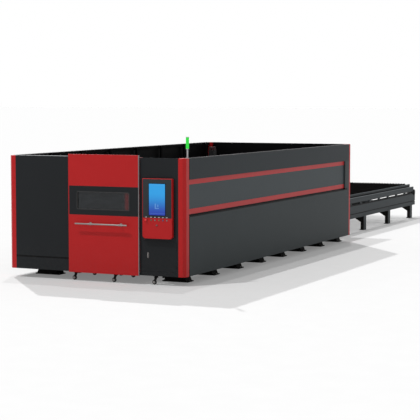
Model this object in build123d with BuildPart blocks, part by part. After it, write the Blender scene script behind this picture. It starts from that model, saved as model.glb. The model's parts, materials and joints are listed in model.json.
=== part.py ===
from build123d import *
import os

os.makedirs("parts", exist_ok=True)

# A two metre by six metre laser cutter for sheet metal, in a cabinet with an open roof, with a
# two-level pallet stand behind it. Sizes are in millimetres. The operator stands at -Y and looks
# along +Y, +X is to the operator's right, and the floor is Z = 0.

corner = (Align.MIN, Align.MIN)

# Gaps between pieces
panel_seam = 0.8
running_gap = 0.3
bore_clearance = 0.05

# Enclosure
enclosure_width = 3640
enclosure_length = 8830
enclosure_top = 2270
floor_gap = 164
panel_thickness = 50
sheet_panel = 30
half_width = enclosure_width / 2

# Corner posts, each with its outer corner cut off
post_width = 135
front_post_depth = 160
rear_post_depth = 130
post_chamfer = 50

# Recessed band along both side walls, with a red stripe at its top and at its bottom
recess_bottom = 1245
recess_top = 1890
recess_depth = 35
plain_end_length = 265
side_panel_count = 7
upper_stripe_bottom = 1800
lower_stripe_bottom = 1270
stripe_height = 93
stripe_thickness = 3

# Tubes behind the side walls
rail_width = 40
rail_height = 60
upright_width = 60

# Front door, which slides to the left over the black panel
door_from_right = 900
door_width = 1450
door_right = half_width - door_from_right
door_left = door_right - door_width
door_bottom = 155
door_top = 2315
door_thickness = 36
door_clearance = 4
door_edge_width = 12
band_bottom = 1215
band_top = 1743
band_margin = 15
band_thickness = 16
window_left = door_left + 184
window_right = door_right - 197
window_bottom = 1320
window_top = 1637
window_radius = 18
glass_thickness = 8
glass_rebate = 14

# Bar handle across the door
handle_diameter = 42
handle_standoff = 75
handle_length = 1071
handle_left = door_left + 174
handle_right = handle_left + handle_length
handle_height = 1057
left_bracket_inset = 288
right_bracket_inset = 154
handle_bracket_left = handle_left + left_bracket_inset
handle_bracket_right = handle_right - right_bracket_inset
bracket_diameter = 26
bracket_flange_diameter = 58
bracket_flange_thickness = 6

# Pallet stand behind the enclosure
stand_length = 7320

handle_reach = door_clearance + door_thickness + handle_standoff + handle_diameter / 2
overall_length = handle_reach + enclosure_length + stand_length

# The origin is under the middle of the whole machine. The front face of the enclosure is at
# front, and along gives the Y of a point that lies so far behind that face.
front = handle_reach - overall_length / 2


def along(distance):
    return front + distance


rear = along(enclosure_length)
stand_end = rear + stand_length

# Front base frame on casters, under the door and the control cabinet
base_tube_width = 80
base_tube_height = 50
base_rear_tube_y = 810
caster_front_y = 70
caster_from_left = 95
caster_from_right = 610
caster_pitch = 825
caster_left_x = door_left + caster_from_left
caster_middle_x = caster_left_x + caster_pitch
caster_right_x = half_width - caster_from_right
caster_plate = 84
caster_plate_thickness = 6
caster_wheel_diameter = 85
caster_wheel_width = 30
caster_floor_clearance = 1
caster_trail = 35
caster_axle_diameter = 12
fork_plate = 4
fork_head_diameter = 62
fork_head_height = 12

# Doorway in the front wall
jamb_depth = 120
left_jamb_width = 130
right_jamb_width = 375
header_height = 120

# Front panels
skirt_top = 400
cabinet_top = 822
cabinet_depth = 400
cabinet_wall = 28
cabinet_door_thickness = 20
cabinet_door_gap = 3
hinge_radius = 6
latch_width = 30
latch_length = 103
latch_from_edge = 149
latch_low = 481
latch_thickness = 14

# Control panel on the right of the door
hmi_from_right = 227
hmi_width = 590
hmi_right = half_width - hmi_from_right
hmi_left = hmi_right - hmi_width
hmi_bottom = 838
hmi_top = 1910
hmi_depth = 65
hmi_corner = 60
hmi_edge = 8
fascia_bottom = 1211
fascia_margin = 10
fascia_right_margin = 34
fascia_thickness = 4
screen_width = 320
screen_left = hmi_left + 137
screen_right = screen_left + screen_width
screen_bottom = 1260
screen_top = 1818
screen_thickness = 3
button_row_height = 1170
button_first_x = hmi_left + 177
button_pitch = 78
button_count = 5
button_radius = 11
button_stands_out = 9
button_inside = 15
button_travel = 5
bezel_radius = 15
bezel_thickness = 4
stop_x = hmi_left + 78
stop_head_radius = 20
stop_head_thickness = 22
stop_collar_radius = 23
key_x = hmi_left + 290
key_height = 1080
key_bow = 24

# Signal lamp on the front right post
lamp_x = half_width - 30
lamp_y = 158
lamp_pole_radius = 14
lamp_flange_radius = 28
lamp_flange_thickness = 8
lamp_pole_height = 170
lamp_radius = 28
lamp_height = 200
lamp_cap_height = 10

# Welded bed
bed_front = 545
bed_rear_gap = 40
bed_beam_outer = half_width - 240
bed_beam_inner = bed_beam_outer - 360
bed_beam_bottom = 160
bed_beam_top = 1250
foot_count = 8
foot_depth = 240
foot_rear_gap = 2
foot_pitch = (enclosure_length - bed_front - foot_depth - foot_rear_gap) / (foot_count - 1)
foot_inner = bed_beam_inner - 130
foot_outer = bed_beam_outer + 30
foot_plate = 20
foot_toe = 36
foot_slope = 90
anchor_hole_radius = 9
anchor_from_edge = 20
bed_cross_height = 140
bed_cross_width = 120
bed_cross_bottom = 240

# Gantry
guide_x = bed_beam_outer - 180
guide_width = 45
guide_height = 40
guide_front = 1200
rack_x = bed_beam_outer - 80
rack_width = 30
rack_height = 32
gantry_y = 6300
truck_length = 700
truck_inner = guide_x - 90
truck_outer = guide_x + 150
truck_height = 130
motor_size = 120
motor_height = 170
beam_half_length = guide_x + 120
beam_depth = 300
beam_height = 360
beam_chamfer = 40
beam_rail = 20
carriage_x = -425
carriage_width = 400
carriage_plate = 35
carriage_height = 330
z_housing_width = 130
z_housing_depth = 135
z_housing_bottom = 1250
z_housing_top = 2190
z_cap_width = 50
z_cap_height = 70
z_cap_inset = 25
head_slide_width = 110
head_slide_thickness = 28
head_slide_bottom = 1180
head_slide_top = 1700
head_radius = 48
head_body_bottom = 1130
head_body_top = 1480
nozzle_tip = 1020
nozzle_tip_radius = 6

# Two exchange tables, one above the other, on flat tracks
stand_half_width = bed_beam_inner - 45
stand_plate_width = 50
track_outer = stand_half_width - stand_plate_width
track_inner = track_outer - 40
track_thickness = 12
upper_track_top = 757
lower_track_top = 512
inside_track_front = 1450
table_length = 6630
table_travel = 7750
upper_table_front = 9350
table_web_outer = track_inner - 12
table_web = 30
table_ledge = 48
table_ledge_height = 60
table_web_height = 140
table_lift = 33
roller_radius = 35
roller_width = 38
roller_axle_radius = 12
roller_count = 6
table_bar_count = 7
table_bar_width = 60
slat_count = 62
slat_pitch = 100
slat_thickness = 6
slat_height = 115
tooth_height = 30
tooth_count = 10
slat_end_gap = 2

# Pallet stand
stand_beam_bottom = 355
stand_beam_top = 458
stand_beam_width = 80
stand_plate_bottom = 472
stand_plate_top = 668
stand_band_inset = 14
stand_rail_bottom = 737
stand_rail_top = 860
stand_rail_from_end = 150
stand_groove_depth = 14
slot_bottom = 687
slot_height = 42
slot_length = 640
slot_first = 482
slot_from_end = 198
slot_count = 9
slot_pitch = (stand_length - slot_first - slot_length - slot_from_end) / (slot_count - 1)
leg_width = 85
leg_depth = 195
leg_first = 975
leg_from_end = 360
leg_count = 4
leg_pitch = (stand_length - leg_first - leg_from_end) / (leg_count - 1)
leg_pad = 12
gusset_reach = 180
gusset_height = 165
gusset_toe = 55
gusset_thickness = 100
cross_tube_size = 80
end_plate_thickness = 20
end_plate_top = 440
sprocket_radius = 70
sprocket_root_radius = 60
sprocket_teeth = 16
sprocket_thickness = 20
sprocket_x = stand_half_width - 135
shaft_radius = 25
shaft_height = 700
shaft_from_end = 100
bearing_radius = 84

# Rear wall round the table opening
rear_opening_half_width = bed_beam_inner + 10
rear_opening_bottom = 440
rear_opening_top = 1180


# Corner posts

with BuildPart() as corner_posts:
    for side, face, inward, depth in (
        (1, front, 1, front_post_depth),
        (-1, front, 1, front_post_depth),
        (1, rear, -1, rear_post_depth),
        (-1, rear, -1, rear_post_depth),
    ):
        with BuildSketch(Plane.XY.offset(floor_gap)):
            with BuildLine():
                Polyline(
                    (side * (half_width - post_width), face),
                    (side * (half_width - post_chamfer), face),
                    (side * half_width, face + inward * post_chamfer),
                    (side * half_width, face + inward * depth),
                    (side * (half_width - post_width), face + inward * depth),
                    close=True,
                )
            make_face()
        extrude(amount=enclosure_top - floor_gap)
corner_posts.part.label = "corner_posts"
export_step(corner_posts.part, "parts/corner_posts.step")


# Side walls: sheet panels with a recessed band, and a plain panel beside each rear post

wall_front = along(front_post_depth)
wall_rear = rear - rear_post_depth
band_end = wall_rear - plain_end_length
side_panel_length = (band_end - wall_front) / side_panel_count
wall_inner = half_width - panel_thickness

with BuildPart() as side_panels:
    for index in range(side_panel_count):
        panel_front = wall_front + index * side_panel_length
        with BuildSketch(Plane.XZ.offset(-panel_front)):
            with BuildLine():
                Polyline(
                    (wall_inner, floor_gap),
                    (half_width, floor_gap),
                    (half_width, recess_bottom),
                    (half_width - recess_depth, recess_bottom),
                    (half_width - recess_depth, recess_top),
                    (half_width, recess_top),
                    (half_width, enclosure_top),
                    (wall_inner, enclosure_top),
                    close=True,
                )
            make_face()
        extrude(amount=panel_seam - side_panel_length)
    with BuildSketch(Plane.XY.offset(floor_gap)):
        with Locations((wall_inner, band_end)):
            Rectangle(panel_thickness, plain_end_length, align=corner)
    extrude(amount=enclosure_top - floor_gap)
    mirror(about=Plane.YZ)
side_panels.part.label = "side_panels"
export_step(side_panels.part, "parts/side_panels.step")

with BuildPart() as side_stripes:
    for stripe_bottom in (lower_stripe_bottom, upper_stripe_bottom):
        with BuildSketch(Plane.XY.offset(stripe_bottom)):
            with Locations((half_width - recess_depth, wall_front)):
                Rectangle(stripe_thickness, band_end - wall_front - panel_seam, align=corner)
        extrude(amount=min(stripe_height, recess_top - stripe_bottom - panel_seam))
    mirror(about=Plane.YZ)
side_stripes.part.label = "side_stripes"
export_step(side_stripes.part, "parts/side_stripes.step")

with BuildPart() as wall_frames:
    for rail_bottom in (floor_gap, recess_bottom - rail_height, enclosure_top - rail_height):
        with BuildSketch(Plane.XY.offset(rail_bottom)):
            with Locations((wall_inner - rail_width, wall_front)):
                Rectangle(rail_width, wall_rear - wall_front, align=corner)
        extrude(amount=rail_height)
    upright_outer = wall_inner - rail_width - running_gap
    for index in range(1, side_panel_count + 1):
        upright_y = wall_front + index * side_panel_length
        with BuildSketch(Plane.XY.offset(floor_gap)):
            with Locations((upright_outer - rail_width / 2, upright_y)):
                Rectangle(rail_width, upright_width)
        extrude(amount=enclosure_top - floor_gap)
    mirror(about=Plane.YZ)
wall_frames.part.label = "wall_frames"
export_step(wall_frames.part, "parts/wall_frames.step")


# Front wall: base frame, doorway, panels

base_top = floor_gap + base_tube_height
caster_places = [
    (caster_left_x, along(caster_front_y)),
    (caster_middle_x, along(caster_front_y)),
    (caster_right_x, along(caster_front_y)),
    (caster_left_x, along(base_rear_tube_y)),
    (caster_middle_x, along(base_rear_tube_y)),
]
front_wall_left = post_width - half_width
front_wall_right = half_width - post_width

with BuildPart() as front_base:
    with BuildSketch(Plane.XY.offset(floor_gap)):
        with Locations((front_wall_left, along(sheet_panel))):
            Rectangle(front_wall_right - front_wall_left, base_tube_width, align=corner)
        for tube_x in (caster_left_x, caster_middle_x):
            with Locations((tube_x, along(sheet_panel))):
                Rectangle(
                    base_tube_width,
                    base_rear_tube_y + base_tube_width / 2 - sheet_panel,
                    align=(Align.CENTER, Align.MIN),
                )
        with Locations((caster_left_x, along(base_rear_tube_y))):
            Rectangle(
                caster_middle_x - caster_left_x,
                base_tube_width,
                align=(Align.MIN, Align.CENTER),
            )
    extrude(amount=base_tube_height)
    with BuildSketch(Plane.XY.offset(floor_gap)):
        with Locations(*caster_places):
            Rectangle(caster_plate, caster_plate)
    extrude(amount=-caster_plate_thickness)
front_base.part.label = "front_base"
export_step(front_base.part, "parts/front_base.step")

left_jamb_right = door_left + left_jamb_width
right_jamb_left = door_right - right_jamb_width

with BuildPart() as door_portal:
    with BuildSketch(Plane.XY.offset(base_top)):
        with Locations((door_left, front)):
            Rectangle(left_jamb_width, jamb_depth, align=corner)
        with Locations((right_jamb_left, front)):
            Rectangle(right_jamb_width, jamb_depth, align=corner)
    extrude(amount=enclosure_top - base_top)
    with BuildSketch(Plane.XY.offset(enclosure_top - header_height)):
        with Locations((left_jamb_right + running_gap, front)):
            Rectangle(
                right_jamb_left - left_jamb_right - 2 * running_gap,
                jamb_depth,
                align=corner,
            )
    extrude(amount=header_height)
door_portal.part.label = "door_portal"
export_step(door_portal.part, "parts/door_portal.step")

with BuildPart() as front_panels_left:
    with BuildSketch(Plane.XY.offset(floor_gap)):
        with Locations((front_wall_left, front)):
            Rectangle(door_left - front_wall_left, sheet_panel, align=corner)
    extrude(amount=skirt_top - floor_gap - panel_seam)
    with BuildSketch(Plane.XY.offset(skirt_top)):
        with Locations((front_wall_left, front)):
            Rectangle(door_left - front_wall_left, sheet_panel, align=corner)
    extrude(amount=enclosure_top - skirt_top)
front_panels_left.part.label = "front_panels_left"
export_step(front_panels_left.part, "parts/front_panels_left.step")

with BuildPart() as front_panels_right:
    with BuildSketch(Plane.XY.offset(floor_gap)):
        with Locations((door_left, front)):
            Rectangle(front_wall_right - door_left, sheet_panel, align=corner)
    extrude(amount=base_tube_height)
    with BuildSketch(Plane.XY.offset(cabinet_top)):
        with Locations((door_right, front)):
            Rectangle(front_wall_right - door_right, sheet_panel, align=corner)
    extrude(amount=enclosure_top - cabinet_top)
front_panels_right.part.label = "front_panels_right"
export_step(front_panels_right.part, "parts/front_panels_right.step")


# Control cabinet with a hinged door and a turning latch

cabinet_left = door_right
cabinet_right = front_wall_right
cabinet_bottom = base_top
cabinet_opening_left = cabinet_left + cabinet_wall
cabinet_opening_right = cabinet_right - cabinet_wall
cabinet_opening_width = cabinet_opening_right - cabinet_opening_left
cabinet_opening_bottom = cabinet_bottom + cabinet_wall
cabinet_opening_height = cabinet_top - cabinet_bottom - 2 * cabinet_wall

with BuildPart() as control_cabinet:
    with BuildSketch(Plane.XZ.offset(-front)):
        with Locations((cabinet_left, cabinet_bottom)):
            Rectangle(
                cabinet_right - cabinet_left,
                cabinet_top - cabinet_bottom,
                align=corner,
            )
    extrude(amount=-cabinet_depth)
    with BuildSketch(Plane.XZ.offset(-front)):
        with Locations((cabinet_opening_left, cabinet_opening_bottom)):
            Rectangle(cabinet_opening_width, cabinet_opening_height, align=corner)
    extrude(amount=cabinet_wall - cabinet_depth, mode=Mode.SUBTRACT)
control_cabinet.part.label = "control_cabinet"
export_step(control_cabinet.part, "parts/control_cabinet.step")

cabinet_door_left = cabinet_opening_left + cabinet_door_gap
cabinet_door_right = cabinet_opening_right - cabinet_door_gap
cabinet_door_bottom = cabinet_opening_bottom + cabinet_door_gap
cabinet_door_height = cabinet_opening_height - 2 * cabinet_door_gap
hinge_x = cabinet_door_right
hinge_y = front - hinge_radius
latch_x = cabinet_door_left + latch_from_edge - latch_width / 2
latch_pivot_z = latch_low + latch_length - latch_width / 2

with BuildPart() as cabinet_door:
    with BuildSketch(Plane.XZ.offset(-front)):
        with Locations((cabinet_door_left, cabinet_door_bottom)):
            Rectangle(
                cabinet_door_right - cabinet_door_left,
                cabinet_door_height,
                align=corner,
            )
    extrude(amount=-cabinet_door_thickness)
    for hinge_z in (cabinet_door_height * 0.15, cabinet_door_height * 0.75):
        with BuildSketch(Plane.XY.offset(cabinet_door_bottom + hinge_z)):
            with Locations((hinge_x, hinge_y)):
                Circle(hinge_radius)
            with Locations((hinge_x, hinge_y)):
                Rectangle(hinge_radius * 2, hinge_radius, align=(Align.MAX, Align.MIN))
        extrude(amount=cabinet_door_height * 0.1)
    with BuildSketch(Plane.XZ.offset(-front)):
        with Locations((latch_x, latch_pivot_z)):
            Circle(latch_width / 4 + bore_clearance)
    extrude(amount=-cabinet_door_thickness, mode=Mode.SUBTRACT)
cabinet_door.part.label = "cabinet_door"
export_step(cabinet_door.part, "parts/cabinet_door.step")

with BuildPart() as cabinet_latch:
    with BuildSketch(Plane.XZ.offset(-(front - running_gap))):
        with Locations((latch_x, latch_low + latch_length / 2)):
            SlotOverall(latch_length, latch_width, rotation=90)
    extrude(amount=latch_thickness)
    with BuildSketch(Plane.XZ.offset(-(front - running_gap))):
        with Locations((latch_x, latch_pivot_z)):
            Circle(latch_width / 4)
    extrude(amount=-cabinet_door_thickness)
cabinet_latch.part.label = "cabinet_latch"
export_step(cabinet_latch.part, "parts/cabinet_latch.step")


# Sliding front door

door_back = front - door_clearance
door_face = door_back - door_thickness
leaf_right = door_right - door_edge_width
band_left = door_left + band_margin
window_centre = ((window_left + window_right) / 2, (window_bottom + window_top) / 2)
window_width = window_right - window_left
window_height = window_top - window_bottom
glass_face = door_face + band_thickness

with BuildPart() as door_leaf:
    with BuildSketch(Plane.XZ.offset(-door_back)):
        with Locations((door_left, door_bottom)):
            Rectangle(leaf_right - door_left, door_top - door_bottom, align=corner)
    extrude(amount=door_thickness)
    with BuildSketch(Plane.XZ.offset(-door_face)):
        with Locations((band_left, band_bottom)):
            Rectangle(leaf_right - band_left, band_top - band_bottom, align=corner)
    extrude(amount=-band_thickness, mode=Mode.SUBTRACT)
    with BuildSketch(Plane.XZ.offset(-glass_face)):
        with Locations(window_centre):
            Rectangle(window_width + 2 * glass_rebate, window_height + 2 * glass_rebate)
    extrude(amount=-glass_thickness, mode=Mode.SUBTRACT)
    with BuildSketch(Plane.XZ.offset(-door_face)):
        with Locations(window_centre):
            RectangleRounded(window_width, window_height, window_radius)
    extrude(amount=-door_thickness, mode=Mode.SUBTRACT)
door_leaf.part.label = "door_leaf"
export_step(door_leaf.part, "parts/door_leaf.step")

with BuildPart() as door_band:
    with BuildSketch(Plane.XZ.offset(-door_face)):
        with Locations((band_left + running_gap, band_bottom + running_gap)):
            Rectangle(
                leaf_right - band_left - running_gap,
                band_top - band_bottom - 2 * running_gap,
                align=corner,
            )
        with Locations(window_centre):
            RectangleRounded(window_width, window_height, window_radius, mode=Mode.SUBTRACT)
    extrude(amount=-band_thickness)
door_band.part.label = "door_band"
export_step(door_band.part, "parts/door_band.step")

with BuildPart() as door_window:
    with BuildSketch(Plane.XZ.offset(-glass_face)):
        with Locations(window_centre):
            Rectangle(
                window_width + 2 * (glass_rebate - running_gap),
                window_height + 2 * (glass_rebate - running_gap),
            )
    extrude(amount=-glass_thickness)
door_window.part.label = "door_window"
export_step(door_window.part, "parts/door_window.step")

with BuildPart() as door_edge:
    with BuildSketch(Plane.XY.offset(door_bottom)):
        with Locations((leaf_right, door_face)):
            Rectangle(door_edge_width, door_thickness, align=corner)
    extrude(amount=door_top - door_bottom)
    closing_side = door_edge.edges().filter_by(Axis.Z).group_by(Axis.X)[-1]
    fillet(closing_side, radius=door_edge_width / 3)
door_edge.part.label = "door_edge"
export_step(door_edge.part, "parts/door_edge.step")

handle_axis_y = door_face - handle_standoff

with BuildPart() as door_handle:
    with BuildSketch(Plane.YZ.offset(handle_left)):
        with Locations((handle_axis_y, handle_height)):
            Circle(handle_diameter / 2)
    extrude(amount=handle_right - handle_left)
    for bracket_x in (handle_bracket_left, handle_bracket_right):
        with BuildSketch(Plane.XZ.offset(-door_face)):
            with Locations((bracket_x, handle_height)):
                Circle(bracket_diameter / 2)
        extrude(amount=handle_standoff)
        with BuildSketch(Plane.XZ.offset(-door_face)):
            with Locations((bracket_x, handle_height)):
                Circle(bracket_flange_diameter / 2)
        extrude(amount=bracket_flange_thickness)
door_handle.part.label = "door_handle"
export_step(door_handle.part, "parts/door_handle.step")

# The door hangs from rollers that run on a flat track along the top of the front wall
track_y = along(15)
door_track_width = 18
door_track_height = 10
hanger_inset = 180
hanger_width = 70
hanger_thickness = 10
hanger_roller_radius = 12

with BuildPart() as door_track:
    with BuildSketch(Plane.XY.offset(enclosure_top)):
        with Locations((front_wall_left, track_y)):
            Rectangle(
                door_right - front_wall_left,
                door_track_width,
                align=(Align.MIN, Align.CENTER),
            )
    extrude(amount=door_track_height)
door_track.part.label = "door_track"
export_step(door_track.part, "parts/door_track.step")

hanger_roller_z = enclosure_top + door_track_height + hanger_roller_radius + running_gap
hanger_top = door_top - hanger_thickness / 2

with BuildPart() as door_hangers:
    for hanger_x in (door_left + hanger_inset, leaf_right - hanger_inset):
        with BuildSketch(Plane.XY.offset(hanger_top - hanger_thickness)):
            with Locations((hanger_x, door_back)):
                Rectangle(
                    hanger_width,
                    track_y - door_back + door_track_width,
                    align=(Align.CENTER, Align.MIN),
                )
        extrude(amount=hanger_thickness)
        with BuildSketch(Plane.XZ.offset(-(track_y - door_track_width / 2))):
            with Locations((hanger_x, hanger_roller_z)):
                Circle(hanger_roller_radius)
        extrude(amount=-door_track_width)
door_hangers.part.label = "door_hangers"
export_step(door_hangers.part, "parts/door_hangers.step")


# Control panel box, its dark face, its screen and its buttons

hmi_face = front - hmi_depth
button_hole = button_radius + bore_clearance
button_pocket = button_inside + button_travel + button_stands_out
button_xs = [button_first_x + index * button_pitch for index in range(button_count)]
control_places = [(x, button_row_height) for x in button_xs]
control_places.append((stop_x, button_row_height))
control_places.append((key_x, key_height))

with BuildPart() as hmi_housing:
    with BuildSketch(Plane.XZ.offset(-front)):
        with Locations((hmi_left, hmi_bottom)):
            Rectangle(hmi_width, hmi_top - hmi_bottom, align=corner)
    extrude(amount=hmi_depth)
    depth_edges = hmi_housing.edges().filter_by(Axis.Y)
    fillet(depth_edges.group_by(Axis.Z)[0], radius=hmi_corner)
    depth_edges = hmi_housing.edges().filter_by(Axis.Y)
    fillet(depth_edges.group_by(Axis.Z)[-1], radius=hmi_edge)
    front_rim = hmi_housing.faces().sort_by(Axis.Y)[0].edges()
    chamfer(front_rim, length=hmi_edge / 2)
    with BuildSketch(Plane.XZ.offset(-hmi_face)):
        with Locations(*control_places):
            Circle(button_hole)
    extrude(amount=-button_pocket, mode=Mode.SUBTRACT)
hmi_housing.part.label = "hmi_housing"
export_step(hmi_housing.part, "parts/hmi_housing.step")

fascia_left = hmi_left + fascia_margin
fascia_right = hmi_right - fascia_right_margin
fascia_top = hmi_top - fascia_margin

with BuildPart() as hmi_fascia:
    with BuildSketch(Plane.XZ.offset(-hmi_face)):
        with Locations((fascia_left, fascia_bottom)):
            Rectangle(fascia_right - fascia_left, fascia_top - fascia_bottom, align=corner)
    extrude(amount=fascia_thickness)
hmi_fascia.part.label = "hmi_fascia"
export_step(hmi_fascia.part, "parts/hmi_fascia.step")

with BuildPart() as hmi_screen:
    with BuildSketch(Plane.XZ.offset(-(hmi_face - fascia_thickness))):
        with Locations((screen_left, screen_bottom)):
            Rectangle(screen_right - screen_left, screen_top - screen_bottom, align=corner)
    extrude(amount=screen_thickness)
hmi_screen.part.label = "hmi_screen"
export_step(hmi_screen.part, "parts/hmi_screen.step")

with BuildPart() as button_bezels:
    with BuildSketch(Plane.XZ.offset(-hmi_face)):
        with Locations(*control_places):
            Circle(bezel_radius)
        with Locations((stop_x, button_row_height)):
            Circle(stop_collar_radius)
        with Locations(*control_places):
            Circle(button_hole, mode=Mode.SUBTRACT)
    extrude(amount=bezel_thickness)
button_bezels.part.label = "button_bezels"
export_step(button_bezels.part, "parts/button_bezels.step")

for number, button_x in enumerate(button_xs, start=1):
    with BuildPart() as push_button:
        with BuildSketch(Plane.XZ.offset(-(hmi_face + button_inside))):
            with Locations((button_x, button_row_height)):
                Circle(button_radius)
        extrude(amount=button_inside + button_stands_out)
        chamfer(push_button.faces().sort_by(Axis.Y)[0].edges(), length=1.5)
    push_button.part.label = f"push_button_{number}"
    export_step(push_button.part, f"parts/push_button_{number}.step")

stop_head_back = hmi_face - bezel_thickness - button_travel - 2

with BuildPart() as stop_button:
    with BuildSketch(Plane.XZ.offset(-(hmi_face + button_inside))):
        with Locations((stop_x, button_row_height)):
            Circle(button_radius)
    extrude(amount=hmi_face + button_inside - stop_head_back)
    with BuildSketch(Plane.XZ.offset(-stop_head_back)):
        with Locations((stop_x, button_row_height)):
            Circle(stop_head_radius)
    extrude(amount=stop_head_thickness)
    fillet(stop_button.faces().sort_by(Axis.Y)[0].edges(), radius=stop_head_thickness / 3)
stop_button.part.label = "stop_button"
export_step(stop_button.part, "parts/stop_button.step")

with BuildPart() as key_switch:
    with BuildSketch(Plane.XZ.offset(-(hmi_face + button_inside))):
        with Locations((key_x, key_height)):
            Circle(button_radius)
    extrude(amount=button_inside + button_stands_out)
    with BuildSketch(Plane.YZ.offset(key_x)):
        with Locations((hmi_face - button_stands_out, key_height)):
            Rectangle(key_bow, key_bow, align=(Align.MAX, Align.CENTER))
    extrude(amount=fascia_thickness / 2, both=True)
key_switch.part.label = "key_switch"
export_step(key_switch.part, "parts/key_switch.step")


# Signal lamp on the front right post

lamp_base = enclosure_top + lamp_pole_height
lamp_top = lamp_base + lamp_height

with BuildPart() as stack_light_pole:
    for disc_bottom, disc_radius, disc_height in (
        (enclosure_top, lamp_flange_radius, lamp_flange_thickness),
        (enclosure_top, lamp_pole_radius, lamp_pole_height),
        (lamp_base - lamp_flange_thickness, lamp_flange_radius, lamp_flange_thickness),
        (lamp_top, lamp_radius, lamp_cap_height),
    ):
        with BuildSketch(Plane.XY.offset(disc_bottom)):
            with Locations((lamp_x, along(lamp_y))):
                Circle(disc_radius)
        extrude(amount=disc_height)
stack_light_pole.part.label = "stack_light_pole"
export_step(stack_light_pole.part, "parts/stack_light_pole.step")

with BuildPart() as stack_light_lens:
    with BuildSketch(Plane.XY.offset(lamp_base)):
        with Locations((lamp_x, along(lamp_y))):
            Circle(lamp_radius)
    extrude(amount=lamp_height)
stack_light_lens.part.label = "stack_light_lens"
export_step(stack_light_lens.part, "parts/stack_light_lens.step")


# Casters under the front base

wheel_radius = caster_wheel_diameter / 2
axle_z = wheel_radius + caster_floor_clearance
fork_top = floor_gap - caster_plate_thickness - running_gap
fork_inner = caster_wheel_width / 2 + 2
for number, (swivel_x, swivel_y) in enumerate(caster_places, start=1):
    axle_x = swivel_x - caster_trail
    with BuildPart() as caster_fork:
        with BuildSketch(Plane.XY.offset(fork_top - fork_head_height)):
            with Locations((swivel_x, swivel_y)):
                Circle(fork_head_diameter / 2)
        extrude(amount=fork_head_height)
        for cheek_y in (swivel_y - fork_inner, swivel_y + fork_inner + fork_plate):
            with BuildSketch(Plane.XZ.offset(-cheek_y)):
                with BuildLine():
                    Polyline(
                        (swivel_x - fork_head_diameter / 3, fork_top - fork_head_height),
                        (axle_x - caster_axle_diameter, axle_z),
                        (axle_x - caster_axle_diameter / 2, axle_z - caster_axle_diameter),
                        (axle_x + caster_axle_diameter / 2, axle_z - caster_axle_diameter),
                        (swivel_x + fork_head_diameter / 3, fork_top - fork_head_height),
                        close=True,
                    )
                make_face()
            extrude(amount=fork_plate)
        with BuildSketch(Plane.XZ.offset(-(swivel_y + fork_inner + fork_plate))):
            with Locations((axle_x, axle_z)):
                Circle(caster_axle_diameter / 2)
        extrude(amount=2 * (fork_inner + fork_plate))
    caster_fork.part.label = f"caster_fork_{number}"
    export_step(caster_fork.part, f"parts/caster_fork_{number}.step")

    with BuildPart() as caster_wheel:
        with BuildSketch(Plane.XZ.offset(-(swivel_y + caster_wheel_width / 2))):
            with Locations((axle_x, axle_z)):
                Circle(wheel_radius)
                Circle(caster_axle_diameter / 2 + bore_clearance, mode=Mode.SUBTRACT)
        extrude(amount=caster_wheel_width)
        tread = caster_wheel.edges().filter_by(GeomType.CIRCLE).sort_by(SortBy.RADIUS)[-2:]
        chamfer(tread, length=4)
    caster_wheel.part.label = f"caster_wheel_{number}"
    export_step(caster_wheel.part, f"parts/caster_wheel_{number}.step")


# Welded bed: two box beams on sixteen feet, and the tubes between them

bed_rear = rear - bed_rear_gap
foot_fronts = [along(bed_front + index * foot_pitch) for index in range(foot_count)]

with BuildPart() as bed_side_beams:
    with BuildSketch(Plane.XZ.offset(-along(bed_front))):
        with Locations((bed_beam_inner, bed_beam_bottom)):
            Rectangle(
                bed_beam_outer - bed_beam_inner,
                bed_beam_top - bed_beam_bottom,
                align=corner,
            )
    extrude(amount=along(bed_front) - bed_rear)
    mirror(about=Plane.YZ)
bed_side_beams.part.label = "bed_side_beams"
export_step(bed_side_beams.part, "parts/bed_side_beams.step")

with BuildPart() as bed_feet:
    for foot_front in foot_fronts:
        with BuildSketch(Plane.XZ.offset(-foot_front)):
            with BuildLine():
                Polyline(
                    (foot_inner, 0),
                    (foot_outer, 0),
                    (foot_outer, foot_plate),
                    (foot_outer - foot_toe, foot_plate),
                    (foot_outer - foot_slope, bed_beam_bottom),
                    (foot_inner + foot_slope, bed_beam_bottom),
                    (foot_inner + foot_toe, foot_plate),
                    (foot_inner, foot_plate),
                    close=True,
                )
            make_face()
        extrude(amount=-foot_depth)
        with BuildSketch(Plane.XY):
            with Locations((foot_outer - anchor_from_edge, foot_front + foot_depth / 2)):
                Circle(anchor_hole_radius)
        extrude(amount=foot_plate, mode=Mode.SUBTRACT)
    mirror(about=Plane.YZ)
bed_feet.part.label = "bed_feet"
export_step(bed_feet.part, "parts/bed_feet.step")

with BuildPart() as bed_cross_tubes:
    for foot_front in foot_fronts:
        with BuildSketch(Plane.YZ):
            with Locations((foot_front + foot_depth / 2, bed_cross_bottom)):
                Rectangle(
                    bed_cross_width,
                    bed_cross_height,
                    align=(Align.CENTER, Align.MIN),
                )
        extrude(amount=bed_beam_inner, both=True)
bed_cross_tubes.part.label = "bed_cross_tubes"
export_step(bed_cross_tubes.part, "parts/bed_cross_tubes.step")

with BuildPart() as gantry_rails:
    with BuildSketch(Plane.XY.offset(bed_beam_top)):
        with Locations((guide_x, along(guide_front))):
            Rectangle(
                guide_width,
                bed_rear - along(guide_front),
                align=(Align.CENTER, Align.MIN),
            )
    extrude(amount=guide_height)
    with BuildSketch(Plane.XY.offset(bed_beam_top)):
        with Locations((rack_x, along(guide_front))):
            Rectangle(
                rack_width,
                bed_rear - along(guide_front),
                align=(Align.CENTER, Align.MIN),
            )
    extrude(amount=rack_height)
    mirror(about=Plane.YZ)
gantry_rails.part.label = "gantry_rails"
export_step(gantry_rails.part, "parts/gantry_rails.step")


# Gantry, carriage and cutting head

guide_top = bed_beam_top + guide_height
truck_top = guide_top + truck_height
beam_y = along(gantry_y)
beam_front = beam_y - beam_depth / 2
rail_face = beam_front - beam_rail

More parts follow.
